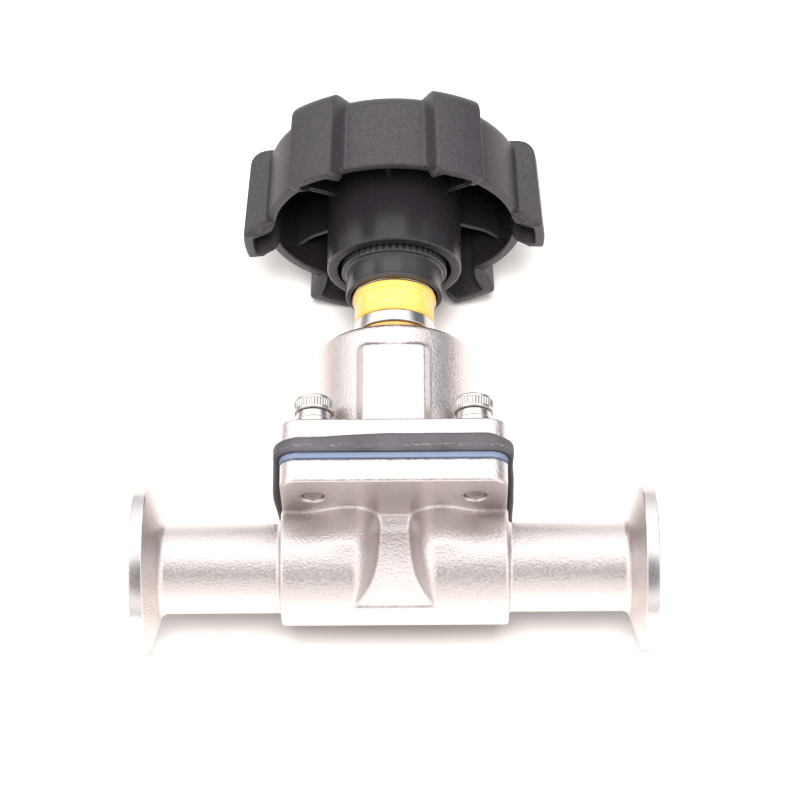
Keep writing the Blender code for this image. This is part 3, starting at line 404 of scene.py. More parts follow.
def join_rows(rows, closed):
    """Faces between rows of points that each run once round; ends meet in a pole."""
    around = len(rows[0])
    points = np.concatenate(rows)
    index = np.arange(len(points)).reshape(len(rows), around)
    if closed:
        index = np.vstack((index, index[:1]))
    low, high = index[:-1], index[1:]
    faces = np.stack((low, np.roll(low, -1, 1), np.roll(high, -1, 1), high), -1).reshape(-1, 4)
    if closed:
        return points, faces.tolist()
    poles = np.array((rows[0].mean(0), rows[-1].mean(0)))
    count = len(points)
    ring, last = index[0], index[-1]
    caps = [(count, int(b), int(a)) for a, b in zip(ring, np.roll(ring, -1))]
    caps += [(count + 1, int(a), int(b)) for a, b in zip(last, np.roll(last, -1))]
    return np.vstack((points, poles)), faces.tolist() + caps


def turning(segments, turn=0.0):
    return turn + TAU * np.arange(segments) / segments


def row(radius, height, angles):
    """Points at a radius and height for each angle; both may vary with the angle."""
    radius = np.broadcast_to(radius, angles.shape)
    height = np.broadcast_to(height, angles.shape)
    return np.stack((radius * np.cos(angles), radius * np.sin(angles), height), -1)


def turned(angles, *corners):
    """Rows round the axis along an open outline of (radius, height, fillet) corners."""
    return [row(r, z, angles) for r, z in softened(corners, closed=False)]


def upright(outline):
    """The outline with its inside on its left, so that turned faces point out."""
    r, z = outline[:, 0], outline[:, 1]
    area = np.sum(r * np.roll(z, -1) - np.roll(r, -1) * z)
    return outline if area > 0 else outline[::-1]


def lathe(corners, segments=128, closed=True):
    outline = softened(corners, closed)
    if closed:
        outline = upright(outline)
    angles = turning(segments)
    return join_rows([row(radius, height, angles) for radius, height in outline], closed)


def along_pipe(points):
    """Turns a shape made about Z so that its axis is the pipe's, X."""
    return np.asarray(points)[:, [2, 0, 1]]


def regular_hexagon(across, angles):
    """Radius of a hexagon's outline at each angle."""
    from_flat = (angles % math.radians(60.0)) - math.radians(30.0)
    return across / 2.0 / np.cos(from_flat)


def rounded_square(across, angles, corner=0.12):
    """Radius of a square's outline at each angle, with its corners drawn in a little."""
    from_flat = (angles + math.radians(45.0)) % math.radians(90.0) - math.radians(45.0)
    return across / 2.0 / np.cos(from_flat) * (1.0 - corner * np.sin(np.abs(from_flat)) ** 6)


# ---- solids from distances


def rounded_rectangle_distance(x, y, half_x, half_y, corner):
    qx = np.abs(x) - half_x + corner
    qy = np.abs(y) - half_y + corner
    outside = np.hypot(np.maximum(qx, 0.0), np.maximum(qy, 0.0))
    return outside + np.minimum(np.maximum(qx, qy), 0.0) - corner


def extruded(flat, height, low, high, edge):
    """A flat outline's distance drawn out between two heights, with round edges."""
    middle, half = (low + high) / 2.0, (high - low) / 2.0
    a = flat + edge
    b = np.abs(height - middle) - half + edge
    outside = np.hypot(np.maximum(a, 0.0), np.maximum(b, 0.0))
    return outside + np.minimum(np.maximum(a, b), 0.0) - edge


def merged(a, b, fillet):
    """The union of two solids with a fillet between them."""
    share = np.clip(0.5 + 0.5 * (b - a) / fillet, 0.0, 1.0)
    return b + (a - b) * share - fillet * share * (1.0 - share)


def without(a, b, fillet):
    """Solid a with b cut out and the cut's edge rounded."""
    return -merged(-a, b, fillet)


def surface_of(distance, low, high, pitch):
    """Quads on the surface of a solid given by its distance function, one point a cell."""
    axes = [np.arange(l, h + pitch, pitch) for l, h in zip(low, high)]
    values = distance(*np.meshgrid(*axes, indexing="ij")).astype(np.float32)
    cells = tuple(n - 1 for n in values.shape)
    total = np.zeros(cells + (3,), np.float32)
    hits = np.zeros(cells, np.float32)
    crossings = []
    for axis in range(3):
        near = [slice(None)] * 3
        far = [slice(None)] * 3
        near[axis], far[axis] = slice(None, -1), slice(1, None)
        a, b = values[tuple(near)], values[tuple(far)]
        crosses = (a < 0) != (b < 0)
        share = np.where(crosses, a / np.where(crosses, a - b, 1.0), 0.0)
        crossings.append((crosses, a < 0))
        others = [k for k in range(3) if k != axis]
        for first in (0, 1):
            for second in (0, 1):
                part = [slice(None)] * 3
                for other, offset in zip(others, (first, second)):
                    part[other] = slice(offset, offset + cells[other])
                hit = crosses[tuple(part)]
                hits += hit
                total[..., axis] += share[tuple(part)]
                for other, offset in zip(others, (first, second)):
                    total[..., other] += hit * offset
    used = hits > 0
    index = np.full(cells, -1, np.int64)
    index[used] = np.arange(used.sum())
    points = (np.argwhere(used) + total[used] / hits[used][:, None]) * pitch + np.array(low)
    faces = []
    for axis, (crosses, inside) in enumerate(crossings):
        u, v = (axis + 1) % 3, (axis + 2) % 3
        at = np.argwhere(crosses)
        at = at[(at[:, u] > 0) & (at[:, v] > 0) & (at[:, u] < cells[u]) & (at[:, v] < cells[v])]
        corners = []
        for du, dv in ((-1, -1), (0, -1), (0, 0), (-1, 0)):
            cell = at.copy()
            cell[:, u] += du
            cell[:, v] += dv
            corners.append(index[tuple(cell.T)])
        quads = np.stack(corners, -1)
        outward = inside[tuple(at.T)]
        faces.append(np.where(outward[:, None], quads, quads[:, ::-1]))
    return settled(points, distance, pitch), np.concatenate(faces).tolist()


def settled(points, distance, pitch, rounds=4):
    """Moves points onto the surface along the distance's slope."""
    reach = 0.02
    for _ in range(rounds):
        here = distance(*points.T)
        rises = [distance(*(points + way).T) - distance(*(points - way).T)
                 for way in reach * np.eye(3)]
        slope = np.stack(rises, -1) / (2.0 * reach)
        steep = np.maximum((slope**2).sum(-1), 0.05)
        step = np.clip(here / steep, -0.4 * pitch, 0.4 * pitch)
        points = points - slope * step[:, None]
    return points


def screw_holes(x, y, z, radius, low, high, rim=0.0):
    """Distance to the four screw holes, widened by a small chamfer at both ends."""
    to_hole = np.hypot(np.abs(x) - SCREW_X, np.abs(y) - SCREW_Y)
    depth = np.minimum(np.abs(z - low), np.abs(z - high))
    widened = radius + np.maximum(rim - depth, 0.0)
    inside = np.maximum(low - 1.0 - z, z - high - 1.0)
    return np.maximum(to_hole - widened, inside)


# ---- body casting

POCKET_FLOOR_Y = 7.5
POCKET_TOP_Z = BODY_FLANGE_LOW
POCKET_BOTTOM_Z = -15.75


def pocket_half_width(z):
    """Half width of the pocket's floor: slim under the flange, flared like a foot below."""
    down = np.clip((POCKET_TOP_Z - z) / (POCKET_TOP_Z - POCKET_BOTTOM_Z), 0.0, 1.15)
    return 4.3 + 1.2 * down + 6.9 * down**4


def pockets(x, y, z):
    """Distance to the recesses in front of and behind the weir."""
    depth = np.abs(y) - POCKET_FLOOR_Y
    wall = 0.38 * np.maximum(depth, 0.0)
    sideways = (np.abs(x) - pocket_half_width(z) - wall) / math.hypot(1.0, 0.38)
    above = z - (POCKET_TOP_Z - 0.2)
    ceiling = -merged(-above, depth, 6.0)
    return -merged(-sideways, -ceiling, 1.0)


BOWL_SECTIONS = np.array((
    (-10.4, 21.0, 5.0, 3.6), (-4.0, 19.0, 8.0, 9.8), (4.0, 17.0, 8.0, 9.6),
    (10.0, 15.4, 8.2, 8.7), (14.5, 14.0, 8.6, 8.1), (16.6, 13.2, 9.2, 12.0),
    (18.6, 12.6, 9.6, 15.6), (23.0, 12.3, 9.8, 18.0),
))


def bowls(x, y, z):
    """Distance to the flow bowls on both sides of the weir: height, centre, half sizes."""
    heights, centres, half_x, half_y = BOWL_SECTIONS.T
    centre = np.interp(z, heights, centres)
    a = np.interp(z, heights, half_x)
    b = np.interp(z, heights, half_y)
    oval = np.hypot((np.abs(x) - centre) / a, y / b)
    return np.maximum((oval - 1.0) * np.minimum(a, b), heights[0] - z)


def valve_body_distance(x, y, z):
    around = np.hypot(y, z)
    drum = extruded(around - BODY_RADIUS, x, -BODY_HALF, BODY_HALF, 1.1)
    stub = np.maximum(around - TUBE_RADIUS + 0.02, np.abs(x) - BODY_HALF - 1.9)
    solid = merged(drum, stub, 1.3)
    column = np.hypot((np.abs(x) - 14.2) / 10.4, y / 15.0) * 10.4
    column = (column - 10.4) * 0.9
    column = extruded(column, z, 1.0, BODY_FLANGE_LOW + 3.0, 0.8)
    solid = merged(solid, column, 5.0)
    soft = 0.7 + 3.1 * eased(-15.5, -3.0, z)
    solid = without(solid, pockets(x, y, z), soft)
    plate = rounded_rectangle_distance(x, y, FLANGE_X, FLANGE_Y, FLANGE_CORNER)
    plate = extruded(plate, z, BODY_FLANGE_LOW, BODY_TOP, 0.5)
    solid = merged(solid, plate, 1.2)
    saddle_radius = 42.5
    saddle = np.hypot(y, z - WEIR_TOP_Z - saddle_radius) - saddle_radius
    saddle = np.maximum(saddle, np.abs(x) - 6.2)
    solid = without(solid, saddle, 0.8)
    solid = without(solid, bowls(x, y, z), 0.9)
    bore = np.maximum(around - BORE_RADIUS, 14.0 - np.abs(x))
    solid = without(solid, bore, 0.5)
    holes = screw_holes(x, y, z, 3.4, BODY_FLANGE_LOW, BODY_TOP, 0.45)
    return np.maximum(solid, -holes)


WEIR_TOP_Z = 17.5


def make_valve_body():
    low = (-BODY_HALF - 2.6, -FLANGE_Y - 0.7, -BODY_RADIUS - 0.8)
    high = (BODY_HALF + 2.6, FLANGE_Y + 0.7, BODY_TOP + 0.8)
    points, faces = surface_of(valve_body_distance, low, high, FINE)
    add_piece("body_casting", points, faces, "valve_body", "cast_steel", "valve", crease=60.0)
    inner = BODY_HALF + 1.2
    slope = 10.45 * math.tan(math.radians(20.0))
    land = HALF_LENGTH - LAND
    corners = (
        (BORE_RADIUS, inner, 0.0), (TUBE_RADIUS, inner, 0.0),
        (TUBE_RADIUS, land - slope - 0.6, 2.4), (14.8, land - slope, 0.6),
        (FERRULE_RADIUS, land, 0.45), (FERRULE_RADIUS, HALF_LENGTH, 0.45),
        (23.3, HALF_LENGTH, 0.15), (22.6, HALF_LENGTH - 1.0, 0.6),
        (20.2, HALF_LENGTH - 1.0, 0.6), (19.5, HALF_LENGTH, 0.15),
        (BORE_RADIUS, HALF_LENGTH, 0.3),
    )
    points, faces = lathe(corners, 160)
    points = along_pipe(points)
    for name, side in (("outlet_ferrule", 1), ("inlet_ferrule", -1)):
        turned = points * np.array((side, side, 1.0))
        add_piece(name, turned, faces, "valve_body", "cast_steel", "valve", look="ferrule_steel")


# ---- bonnet casting


def bonnet_distance(x, y, z):
    around = np.hypot(x, y)
    shell = extruded(around - BONNET_RADIUS, z, BONNET_LOW.z + 1.0, BONNET_TOP, 2.2)
    pad = rounded_rectangle_distance(x, z - PAD_LOW, 9.4, PAD_TOP - PAD_LOW, 1.6)
    lean = 0.6 * np.maximum(PAD_FACE - np.abs(y), 0.0)
    pad = extruded(pad - np.minimum(lean, 1.4), np.abs(y), 10.0, PAD_FACE, 0.5)
    solid = merged(shell, pad, 0.8)
    plate = rounded_rectangle_distance(x, y, FLANGE_X, FLANGE_Y, FLANGE_CORNER)
    plate = extruded(plate, z, BONNET_LOW.z, BONNET_FLANGE_TOP, 0.8)
    solid = merged(solid, plate, 1.0)
    seats = np.hypot(np.abs(x) - SCREW_X, np.abs(y) - SCREW_Y) - 6.5
    seats = extruded(seats, z, BONNET_LOW.z + 1.0, SEAT_TOP, 0.4)
    solid = merged(solid, seats, 0.8)
    chamber = np.maximum(around - 22.5, z - 35.0)
    guide = np.maximum(around - 15.5, z - 50.0)
    boss = np.maximum(around - 12.0, z - 61.0)
    neck = around - 10.8
    slot = np.maximum(np.maximum(np.abs(x) - 4.8, np.abs(y) - 18.3), z - 50.0)
    hollow = np.minimum(np.minimum(chamber, guide), np.minimum(boss, slot))
    solid = without(solid, hollow, 0.8)
    solid = np.maximum(solid, -neck)
    holes = screw_holes(x, y, z, SCREW_CLEARANCE, BONNET_LOW.z, SEAT_TOP, 0.3)
    return np.maximum(solid, -holes)


BONNET_RADIUS = 25.0
BONNET_TOP = BONNET_HIGH.z
PAD_TOP = 63.8
PAD_LOW = 20.0
PAD_FACE = 25.3


def make_bonnet():
    low = (-FLANGE_X - 0.7, -FLANGE_Y - 0.7, BONNET_LOW.z - 0.8)
    high = (FLANGE_X + 0.7, FLANGE_Y + 0.7, BONNET_TOP + 0.8)
    points, faces = surface_of(bonnet_distance, low, high, FINE)
    add_piece("bonnet_casting", points, faces, "bonnet", "cast_steel", "valve", crease=60.0)


# ---- compressor


def compressor_distance(x, y, z):
    sole_radius = 36.0
    sole = sole_radius - np.hypot(y, z - 32.7 - sole_radius)
    wing = rounded_rectangle_distance(x, y, 4.5, 18.0, 1.5)
    wing = extruded(wing, z, 28.0, 44.0, 0.6)
    wing = without(wing, sole, 0.8)
    boss = extruded(np.hypot(x, y) - 10.5, z, 38.0, 58.0, 0.6)
    finger = rounded_rectangle_distance(x, y, 13.5, 2.5, 1.0)
    finger = extruded(finger, z, 37.0, 43.0, 0.6)
    solid = merged(merged(wing, boss, 1.6), finger, 1.6)
    socket = np.maximum(np.hypot(x, y) - 6.3, 46.0 - z)
    stud = np.maximum(np.hypot(x, y) - 3.3, z - 42.3)
    pins = np.hypot(np.abs(x) - 6.0, z - 52.8) - 1.8
    cuts = np.minimum(np.minimum(socket, stud), pins)
    return np.maximum(solid, -cuts)


def make_compressor():
    low = (-14.5, -19.0, 31.5)
    high = (14.5, 19.0, 59.0)
    points, faces = surface_of(compressor_distance, low, high, 0.5)
    add_piece("compressor_casting", points, faces, "compressor", "cast_steel", "compressor",
              crease=60.0)


# ---- handwheel

LOBES = 6
WHEEL_TURN = math.radians(-3.5)
HUB_RADIUS = 21.5
HUB_LOW = WHEEL_LOW.z
HUB_BORE = 18.1
HUB_FLOOR = 115.3
WELL_RADIUS = 14.0
WELL_FLOOR = 128.0
CEILING = 141.5
ARC_STEPS = 6


def eased(low, high, value):
    """0 below low, 1 above high, smooth between."""
    share = np.clip((value - low) / (high - low), 0.0, 1.0)
    return share * share * (3.0 - 2.0 * share)


def bulge(low, high, value):
    """1 up to low, then down to 0 at high round a quarter of an ellipse."""
    share = np.clip((value - low) / (high - low), 0.0, 1.0)
    return np.sqrt(1.0 - share * share)


def swoop(low, high, value):
    """1 up to low, then down to 0 at high along a concave sweep."""
    share = np.clip((value - low) / (high - low), 0.0, 1.0)
    return (1.0 - share) ** 2


def wheel_angles():
    """Degrees from a lobe's middle, close together where the lobe turns into the recess."""
    half = np.concatenate((
        np.linspace(0.8, 8.0, 7),
        np.linspace(8.6, 15.6, 24),
        np.linspace(16.8, 29.0, 9),
    ))
    one = np.concatenate((-half[::-1], (0.0,), half, (30.0,)))
    pitch = 360.0 / LOBES
    return np.concatenate([one + pitch * k for k in range(LOBES)])


def lobe_shares(degrees):
    """Share of the lobe in radius and height, for the outer and the inner wall."""
    pitch = 360.0 / LOBES
    fine = np.arange(-6.0, 36.0, 0.05)
    mirrored = np.abs(fine)
    shapes = (
        swoop(10.0, 12.8, mirrored),
        bulge(8.4, 10.9, mirrored),
        1.0 - eased(6.4, 9.6, mirrored),
        bulge(6.6, 9.4, mirrored),
    )
    kernel = np.exp(-0.5 * (np.arange(-1.2, 1.25, 0.05) / 0.35) ** 2)
    kernel /= kernel.sum()
    away = np.abs((degrees + pitch / 2.0) % pitch - pitch / 2.0)
    return [np.interp(away, fine, np.convolve(shape, kernel, "same")) for shape in shapes]


def blended_rows(lobe, recess, radius_share, height_share, angles):
    rows = []
    for (lobe_r, lobe_z), (recess_r, recess_z) in zip(lobe, recess):
        radius = recess_r + (lobe_r - recess_r) * radius_share
        height = recess_z + (lobe_z - recess_z) * height_share
        rows.append(row(radius, height, angles))
    return rows


def wall_middle(lobe, recess, outer_share, inner_share, height_share, angles):
    """The line along the middle of the skirt's lower edge, level where a lobe's side runs in."""
    outer = recess[1][0] + (lobe[1][0] - recess[1][0]) * outer_share
    inner = recess[2][0] + (lobe[2][0] - recess[2][0]) * inner_share
    height = recess[1][1] + (lobe[1][1] - recess[1][1]) * height_share
    return row((outer + inner) / 2.0, height, angles)


def arc_corner(before, corner, after, fillet):
    """The points of one rounded corner, always equally many."""
    outline = softened(((*before, 0.0), (*corner, fillet), (*after, 0.0)), closed=False,
                       steps=ARC_STEPS)
    return outline[1:-1]


def make_handwheel():
    degrees = wheel_angles()
    angles = WHEEL_TURN + np.radians(degrees)
    outer_r, outer_z, inner_r, inner_z = lobe_shares(degrees)
    top = WHEEL_HIGH.z
    lobe_out = ((46.4, top), (48.55, 113.2), (45.4, 113.2), (43.4, CEILING))
    rec_out = ((40.35, top), (41.5, 117.9), (38.3, 117.9), (37.2, CEILING))
    middle, hub = (24.0, top), (HUB_RADIUS, CEILING)
    well = (WELL_RADIUS, top)

    def corner(before, index, after, fillet):
        sides = []
        for wall in (lobe_out, rec_out):
            first = wall[before] if isinstance(before, int) else before
            last = wall[after] if isinstance(after, int) else after
            sides.append(arc_corner(first, wall[index], last, fillet))
        return sides

    square = rounded_square(DRIVE_SQUARE, angles)
    rows = [row(square, HUB_FLOOR, angles), row(square, WELL_FLOOR, angles)]
    rows += turned(
        angles,
        (6.5, WELL_FLOOR, 0.0), (WELL_RADIUS, WELL_FLOOR, 0.6), (*well, 0.5),
        (*middle, 0.0),
    )
    for index, before, after, fillet, shares in (
        (0, middle, 1, 6.0, (outer_r, outer_z)),
        (1, 0, 2, 0.7, (outer_r, outer_z)),
        (2, 1, 3, 0.7, (inner_r, inner_z)),
        (3, 2, hub, 2.5, (inner_r, inner_z)),
    ):
        lobe, recess = corner(before, index, after, fillet)
        if index == 2:
            rows.append(wall_middle(lobe_out, rec_out, outer_r, inner_r, outer_z, angles))
        rows += blended_rows(lobe, recess, *shares, angles)
    rows += turned(
        angles,
        (30.0, CEILING, 0.0), (HUB_RADIUS, CEILING, 1.5), (HUB_RADIUS, HUB_LOW, 0.6),
        (HUB_BORE, HUB_LOW, 0.35), (HUB_BORE, HUB_FLOOR, 0.4), (7.0, HUB_FLOOR, 0.0),
    )
    points, faces = join_rows(rows[::-1], closed=True)
    pieces = [(points, faces)]
    for k in range(LOBES):
        pieces.append(wheel_rib(WHEEL_TURN + math.radians(30.0) + TAU * k / LOBES))
    points, faces = gathered(pieces)
    add_piece("handwheel_moulding", points, faces, "handwheel", "wheel_plastic", "handwheel",
              crease=40.0)


def wheel_rib(angle):
    """One rib between hub and skirt, with a round lower edge, deeper at its outer end."""
    half, low, high = 0.9, 124.8, CEILING + 1.0
    places = np.linspace(HUB_RADIUS - 0.8, 39.2, 15)
    drop = 1.6 * eased(32.0, 39.0, places)
    rows = []
    for place, sink in zip(places, drop):
        bend = np.radians(np.linspace(-180.0, 0.0, 9))
        y = np.concatenate((half * np.cos(bend), (half + 0.25, -half - 0.25)))
        z = np.concatenate((low - sink + half * (1.0 + np.sin(bend)), (high, high)))
        rows.append(np.stack((np.full_like(y, place), y, z), -1))
    points, faces = join_rows(rows, closed=False)
    turn = np.array(Matrix.Rotation(angle, 3, "Z"))
    return points @ turn.T, faces


def gathered(pieces):
    """Several meshes as one list of points and one of faces."""
    points, faces, count = [], [], 0
    for some_points, some_faces in pieces:
        points.append(np.asarray(some_points))
        faces += [tuple(count + int(i) for i in face) for face in some_faces]
        count += len(some_points)
    return np.concatenate(points), faces


# ---- travel-stop sleeve

TEETH = 48
RING_BAND = (101.2, 104.9)


def notches(phase):
    """A wave of narrow V notches, 0 at their roots, of period 1."""
    return np.clip(np.abs((phase % 1.0) - 0.5) / 0.3, 0.0, 1.0)


def trapezoid_wave(phase):
    """A wave between 0 and 1 with flat crests and flat roots, of period 1."""
    ramp = 1.0 - 2.0 * np.abs((phase % 1.0) - 0.5)
    return np.clip((ramp - 0.28) / 0.38, 0.0, 1.0)


def make_sleeve():
    angles = turning(TEETH * 14)
    low, high = SLEEVE_LOW.z, SLEEVE_HIGH.z
    wave = notches(angles * TEETH / TAU)
    outer, bore = 15.45, 13.7
    tip = SLEEVE_HIGH.x - 0.02
    under = high - 3.0
    square = rounded_square(DRIVE_SQUARE, angles)
    rows = [row(square, high, angles), row(square, under, angles)]
    rows += turned(
        angles,
        (7.0, under, 0.0), (bore, under, 0.5), (bore, low, 0.3), (outer, low, 0.35),
        (outer, low + 1.3, 0.1), (outer - 0.25, low + 1.5, 0.1),
        (outer - 0.25, RING_BAND[0] - 0.3, 0.25), (outer + 0.1, RING_BAND[0] - 0.05, 0.0),
    )
    for inset, depth, up in ((0.35, 0.0, 0.0), (0.05, 0.0, 0.3), (0.0, 0.15, 0.6), (0.0, 0.9, 1.5),
                             (0.0, 1.0, 2.2), (0.06, 1.0, 3.4), (0.35, 1.0, 3.7)):
        crest = tip - inset
        root = crest - (crest - outer - 0.1) * depth
        rows.append(row(root + (crest - root) * wave, RING_BAND[0] + up, angles))
    rows += turned(
        angles,
        (outer - 0.1, RING_BAND[1] + 0.05, 0.0), (outer, RING_BAND[1] + 0.6, 0.2),
        (outer, high, 0.5), (7.0, high, 0.0),
    )
    points, faces = join_rows(rows, closed=True)
    add_piece("stop_sleeve_moulding", points, faces, "travel_stop_sleeve", "sleeve_plastic",
              "handwheel", crease=40.0)


# ---- neck and position ring


def ring_piece(name, node, corners, slot, body, segments=128):
    points, faces = lathe(corners, segments)
    return add_piece(name, points, faces, node, slot, body)


def tube_corners(inner, outer, low, high, edge):
    return ((inner, low, edge), (outer, low, edge), (outer, high, edge), (inner, high, edge))


def make_neck():
    low, high = NECK_LOW.z, NECK_HIGH.z
    under = BONNET_TOP + 0.3
    fine = 0.15
    corners = [
        (6.6, low, 0.3), (10.5, low, 0.4), (10.5, under, 0.0),
        (11.1, under, fine), (11.1, under + 1.9, fine),
        (13.3, under + 1.9, fine), (13.3, under, fine),
        (14.2, under, fine), (14.2, NECK_FLANGE_TOP, 0.4),
        (10.8, NECK_FLANGE_TOP, 0.2), (10.8, NECK_GROOVE_TOP, 0.2),
        (12.85, NECK_GROOVE_TOP, 0.45), (12.85, 82.3, 0.3),
        (10.2, 82.3, 0.2), (10.2, high, 0.4), (8.6, high, 0.3), (8.6, 71.2, 0.0),
    ]
    for groove_low in (68.3, 64.3):
        top = groove_low + 2.6
        corners += [
            (6.6, min(top + 0.3, 71.2), 0.0), (6.6, top, 0.1),
            (8.6, top, 0.1), (8.6, groove_low, 0.1), (6.6, groove_low, 0.1),
        ]
    ring_piece("neck_turning", "neck_collar", corners, "turned_steel", "valve")


def split_ring(corners, gap, turn, segments=96):
    """A ring cut open by a small gap, its two ends closed."""
    outline = upright(softened(corners))
    angles = turn + np.linspace(gap, TAU - gap, segments)
    rows = [
        np.stack((outline[:, 0] * math.cos(a), outline[:, 0] * math.sin(a), outline[:, 1]), -1)
        for a in angles
    ]
    points, faces = join_rows(rows, closed=False)
    return points, [face[::-1] for face in faces]


def make_neck_rings():
    low, high = box_of("neck_spacer_ring")
    corners = tube_corners(11.1, high.x, low.z, high.z + 0.26, 0.3)
    points, faces = split_ring(corners, 0.045, math.radians(90.0))
    add_piece("spacer_split_ring", points, faces, "neck_spacer_ring", "bronze", "valve")
    inner = 10.5
    low, high = RING_LOW.z, RING_HIGH.z
    lip = high - 2.0
    corners = (
        (inner, low, 0.3), (12.62, low, 0.45), (12.62, lip - 0.5, 0.5),
        (13.33, lip, 0.3), (13.33, high, 0.5), (inner, high, 0.3),
    )
    ring_piece("position_ring", "indicator_ring", corners, "indicator_yellow", "valve")
    corners = tube_corners(inner, 12.98, RETAINER_LOW.z, RETAINER_HIGH.z, 0.35)
    ring_piece("retainer_ring", "indicator_retainer", corners, "turned_steel", "valve")
    for name, node in (
        ("lower_seal", "spindle_o_ring_lower"),
        ("upper_seal", "spindle_o_ring_upper"),
        ("flange_seal", "neck_o_ring"),
    ):
        low, high = box_of(node)
        section = (high.z - low.z) / 2.0
        middle = (high.z + low.z) / 2.0
        centre = high.x - section
        bend = turning(20)
        rows = [row(centre + section * math.cos(a), middle + section * math.sin(a), turning(96))
                for a in bend]
        points, faces = join_rows(rows, closed=True)
        add_piece(name, points, faces, node, "epdm", "valve")
    low, high = box_of("thread_bush")
    corners = (
        (6.2, low.z, 0.4), (8.3, low.z, 0.3), (8.3, NECK_HIGH.z + 0.3, 0.1),
        (10.2, NECK_HIGH.z + 0.3, 0.15), (10.2, high.z, 0.4), (6.2, high.z, 0.4),
    )
    ring_piece("bush_turning", "thread_bush", corners, "bronze", "valve", 96)


# ---- spindle and inner pieces


def make_spindle():
    angles = turning(96)
    pitch, core, crest = 3.0, 4.6, 5.9
    low, high = 81.0, 107.0
    rows = []
    rows += turned(
        angles,
        (5.2, 47.8, 0.0), (5.9, 48.5, 0.2), (5.9, 51.0, 0.15),
        (4.2, 51.0, 0.4), (4.2, 54.6, 0.4), (5.9, 54.6, 0.15), (5.9, low, 0.0),
    )
    for z in np.arange(low + 0.25, high, 0.25):
        wave = trapezoid_wave((z - low) / pitch - angles / TAU)
        fade = float(1.0 - eased(high - 3.0, high - 0.5, z))
        rows.append(row(core + (crest - core) * wave * fade, z, angles))
    rows += turned(
        angles,
        (core, high, 0.0), (core, 107.6, 0.3), (9.5, 108.5, 0.3),
        (9.5, 111.7, 0.4), (6.0, 111.7, 0.0),
    )
    square = rounded_square(8.0, angles)
    rows.append(row(square, 111.75, angles))
    rows.append(row(square, 127.4, angles))
    rows.append(row(square - 0.3, 127.8, angles))
    rows += turned(
        angles,
        (3.9, 127.8, 0.0), (3.9, 137.4, 0.1), (3.3, 138.0, 0.0),
    )
    points, faces = join_rows(rows, closed=False)
    add_piece("spindle_turning", points, faces, "spindle", "turned_steel", "handwheel")


def make_inner_pieces():
    for index in (1, 2):
        node = f"spindle_pin_{index}"
        low, high = box_of(node)
        half = (high.y - low.y) / 2.0
        radius = (high.x - low.x) / 2.0
        corners = ((0.05, -half, 0.0), (radius, -half, 0.3), (radius, half, 0.3),
                   (0.05, half, 0.0))
        points, faces = lathe(corners, 48, closed=False)
        middle = (low + high) / 2.0
        points = points[:, [1, 2, 0]] + np.array((middle.x, 0.0, middle.z))
        add_piece(f"pin_{index}", points, faces, node, "turned_steel", "compressor")
    low, high = box_of("thrust_washer")
    corners = tube_corners(2.0, high.x, low.z, high.z, 0.2)
    ring_piece("thrust_disc", "thrust_washer", corners, "bronze", "compressor", 96)
    low, high = box_of("diaphragm_stud")
    head = low.z + 1.6
    corners = (
        (0.05, low.z, 0.0), (6.0, low.z, 0.5), (6.0, head, 0.5),
        (3.0, head, 0.3), (3.0, high.z, 0.6), (0.05, high.z, 0.0),
    )
    points, faces = lathe(corners, 72, closed=False)
    add_piece("stud_moulded", points, faces, "diaphragm_stud", "turned_steel", "compressor")


# ---- fasteners


def screw_mesh(low, head_low, head_high):
    """A socket-head cap screw: ringed end, plain shank, knurled head, hexagon socket."""
    knurls = 40
    angles = turning(knurls * 6)
    groove = 0.5 - 0.5 * np.cos(angles * knurls)
    rows = []
    for z in np.arange(low, BODY_TOP, 0.3):
        phase = ((z - low) / 1.25) % 1.0
        rows.append(row(3.1 - 0.3 * abs(phase - 0.5), z, angles))
    rows += turned(
        angles,
        (3.85, BODY_TOP + 0.3, 0.0), (3.85, head_low, 0.2), (SCREW_RADIUS, head_low, 0.4),
        (SCREW_RADIUS, head_low + 0.9, 0.0),
    )
    for depth, z in ((0.26, head_low + 1.1), (0.26, head_high - 1.3)):
        rows.append(row(SCREW_RADIUS - depth * groove, z, angles))
    rows += turned(
        angles,
        (SCREW_RADIUS, head_high - 1.1, 0.0), (SCREW_RADIUS, head_high, 0.7),
        (3.65, head_high, 0.1), (3.5, head_high - 0.1, 0.0),
    )
    socket = regular_hexagon(6.0, angles)
    rows.append(row(socket, head_high - 0.45, angles))
    rows.append(row(socket, head_high - 3.1, angles))
    rows.append(row(socket * 0.5, head_high - 3.2, angles))
    return join_rows(rows, closed=False)


SCREW_RADIUS = 6.08


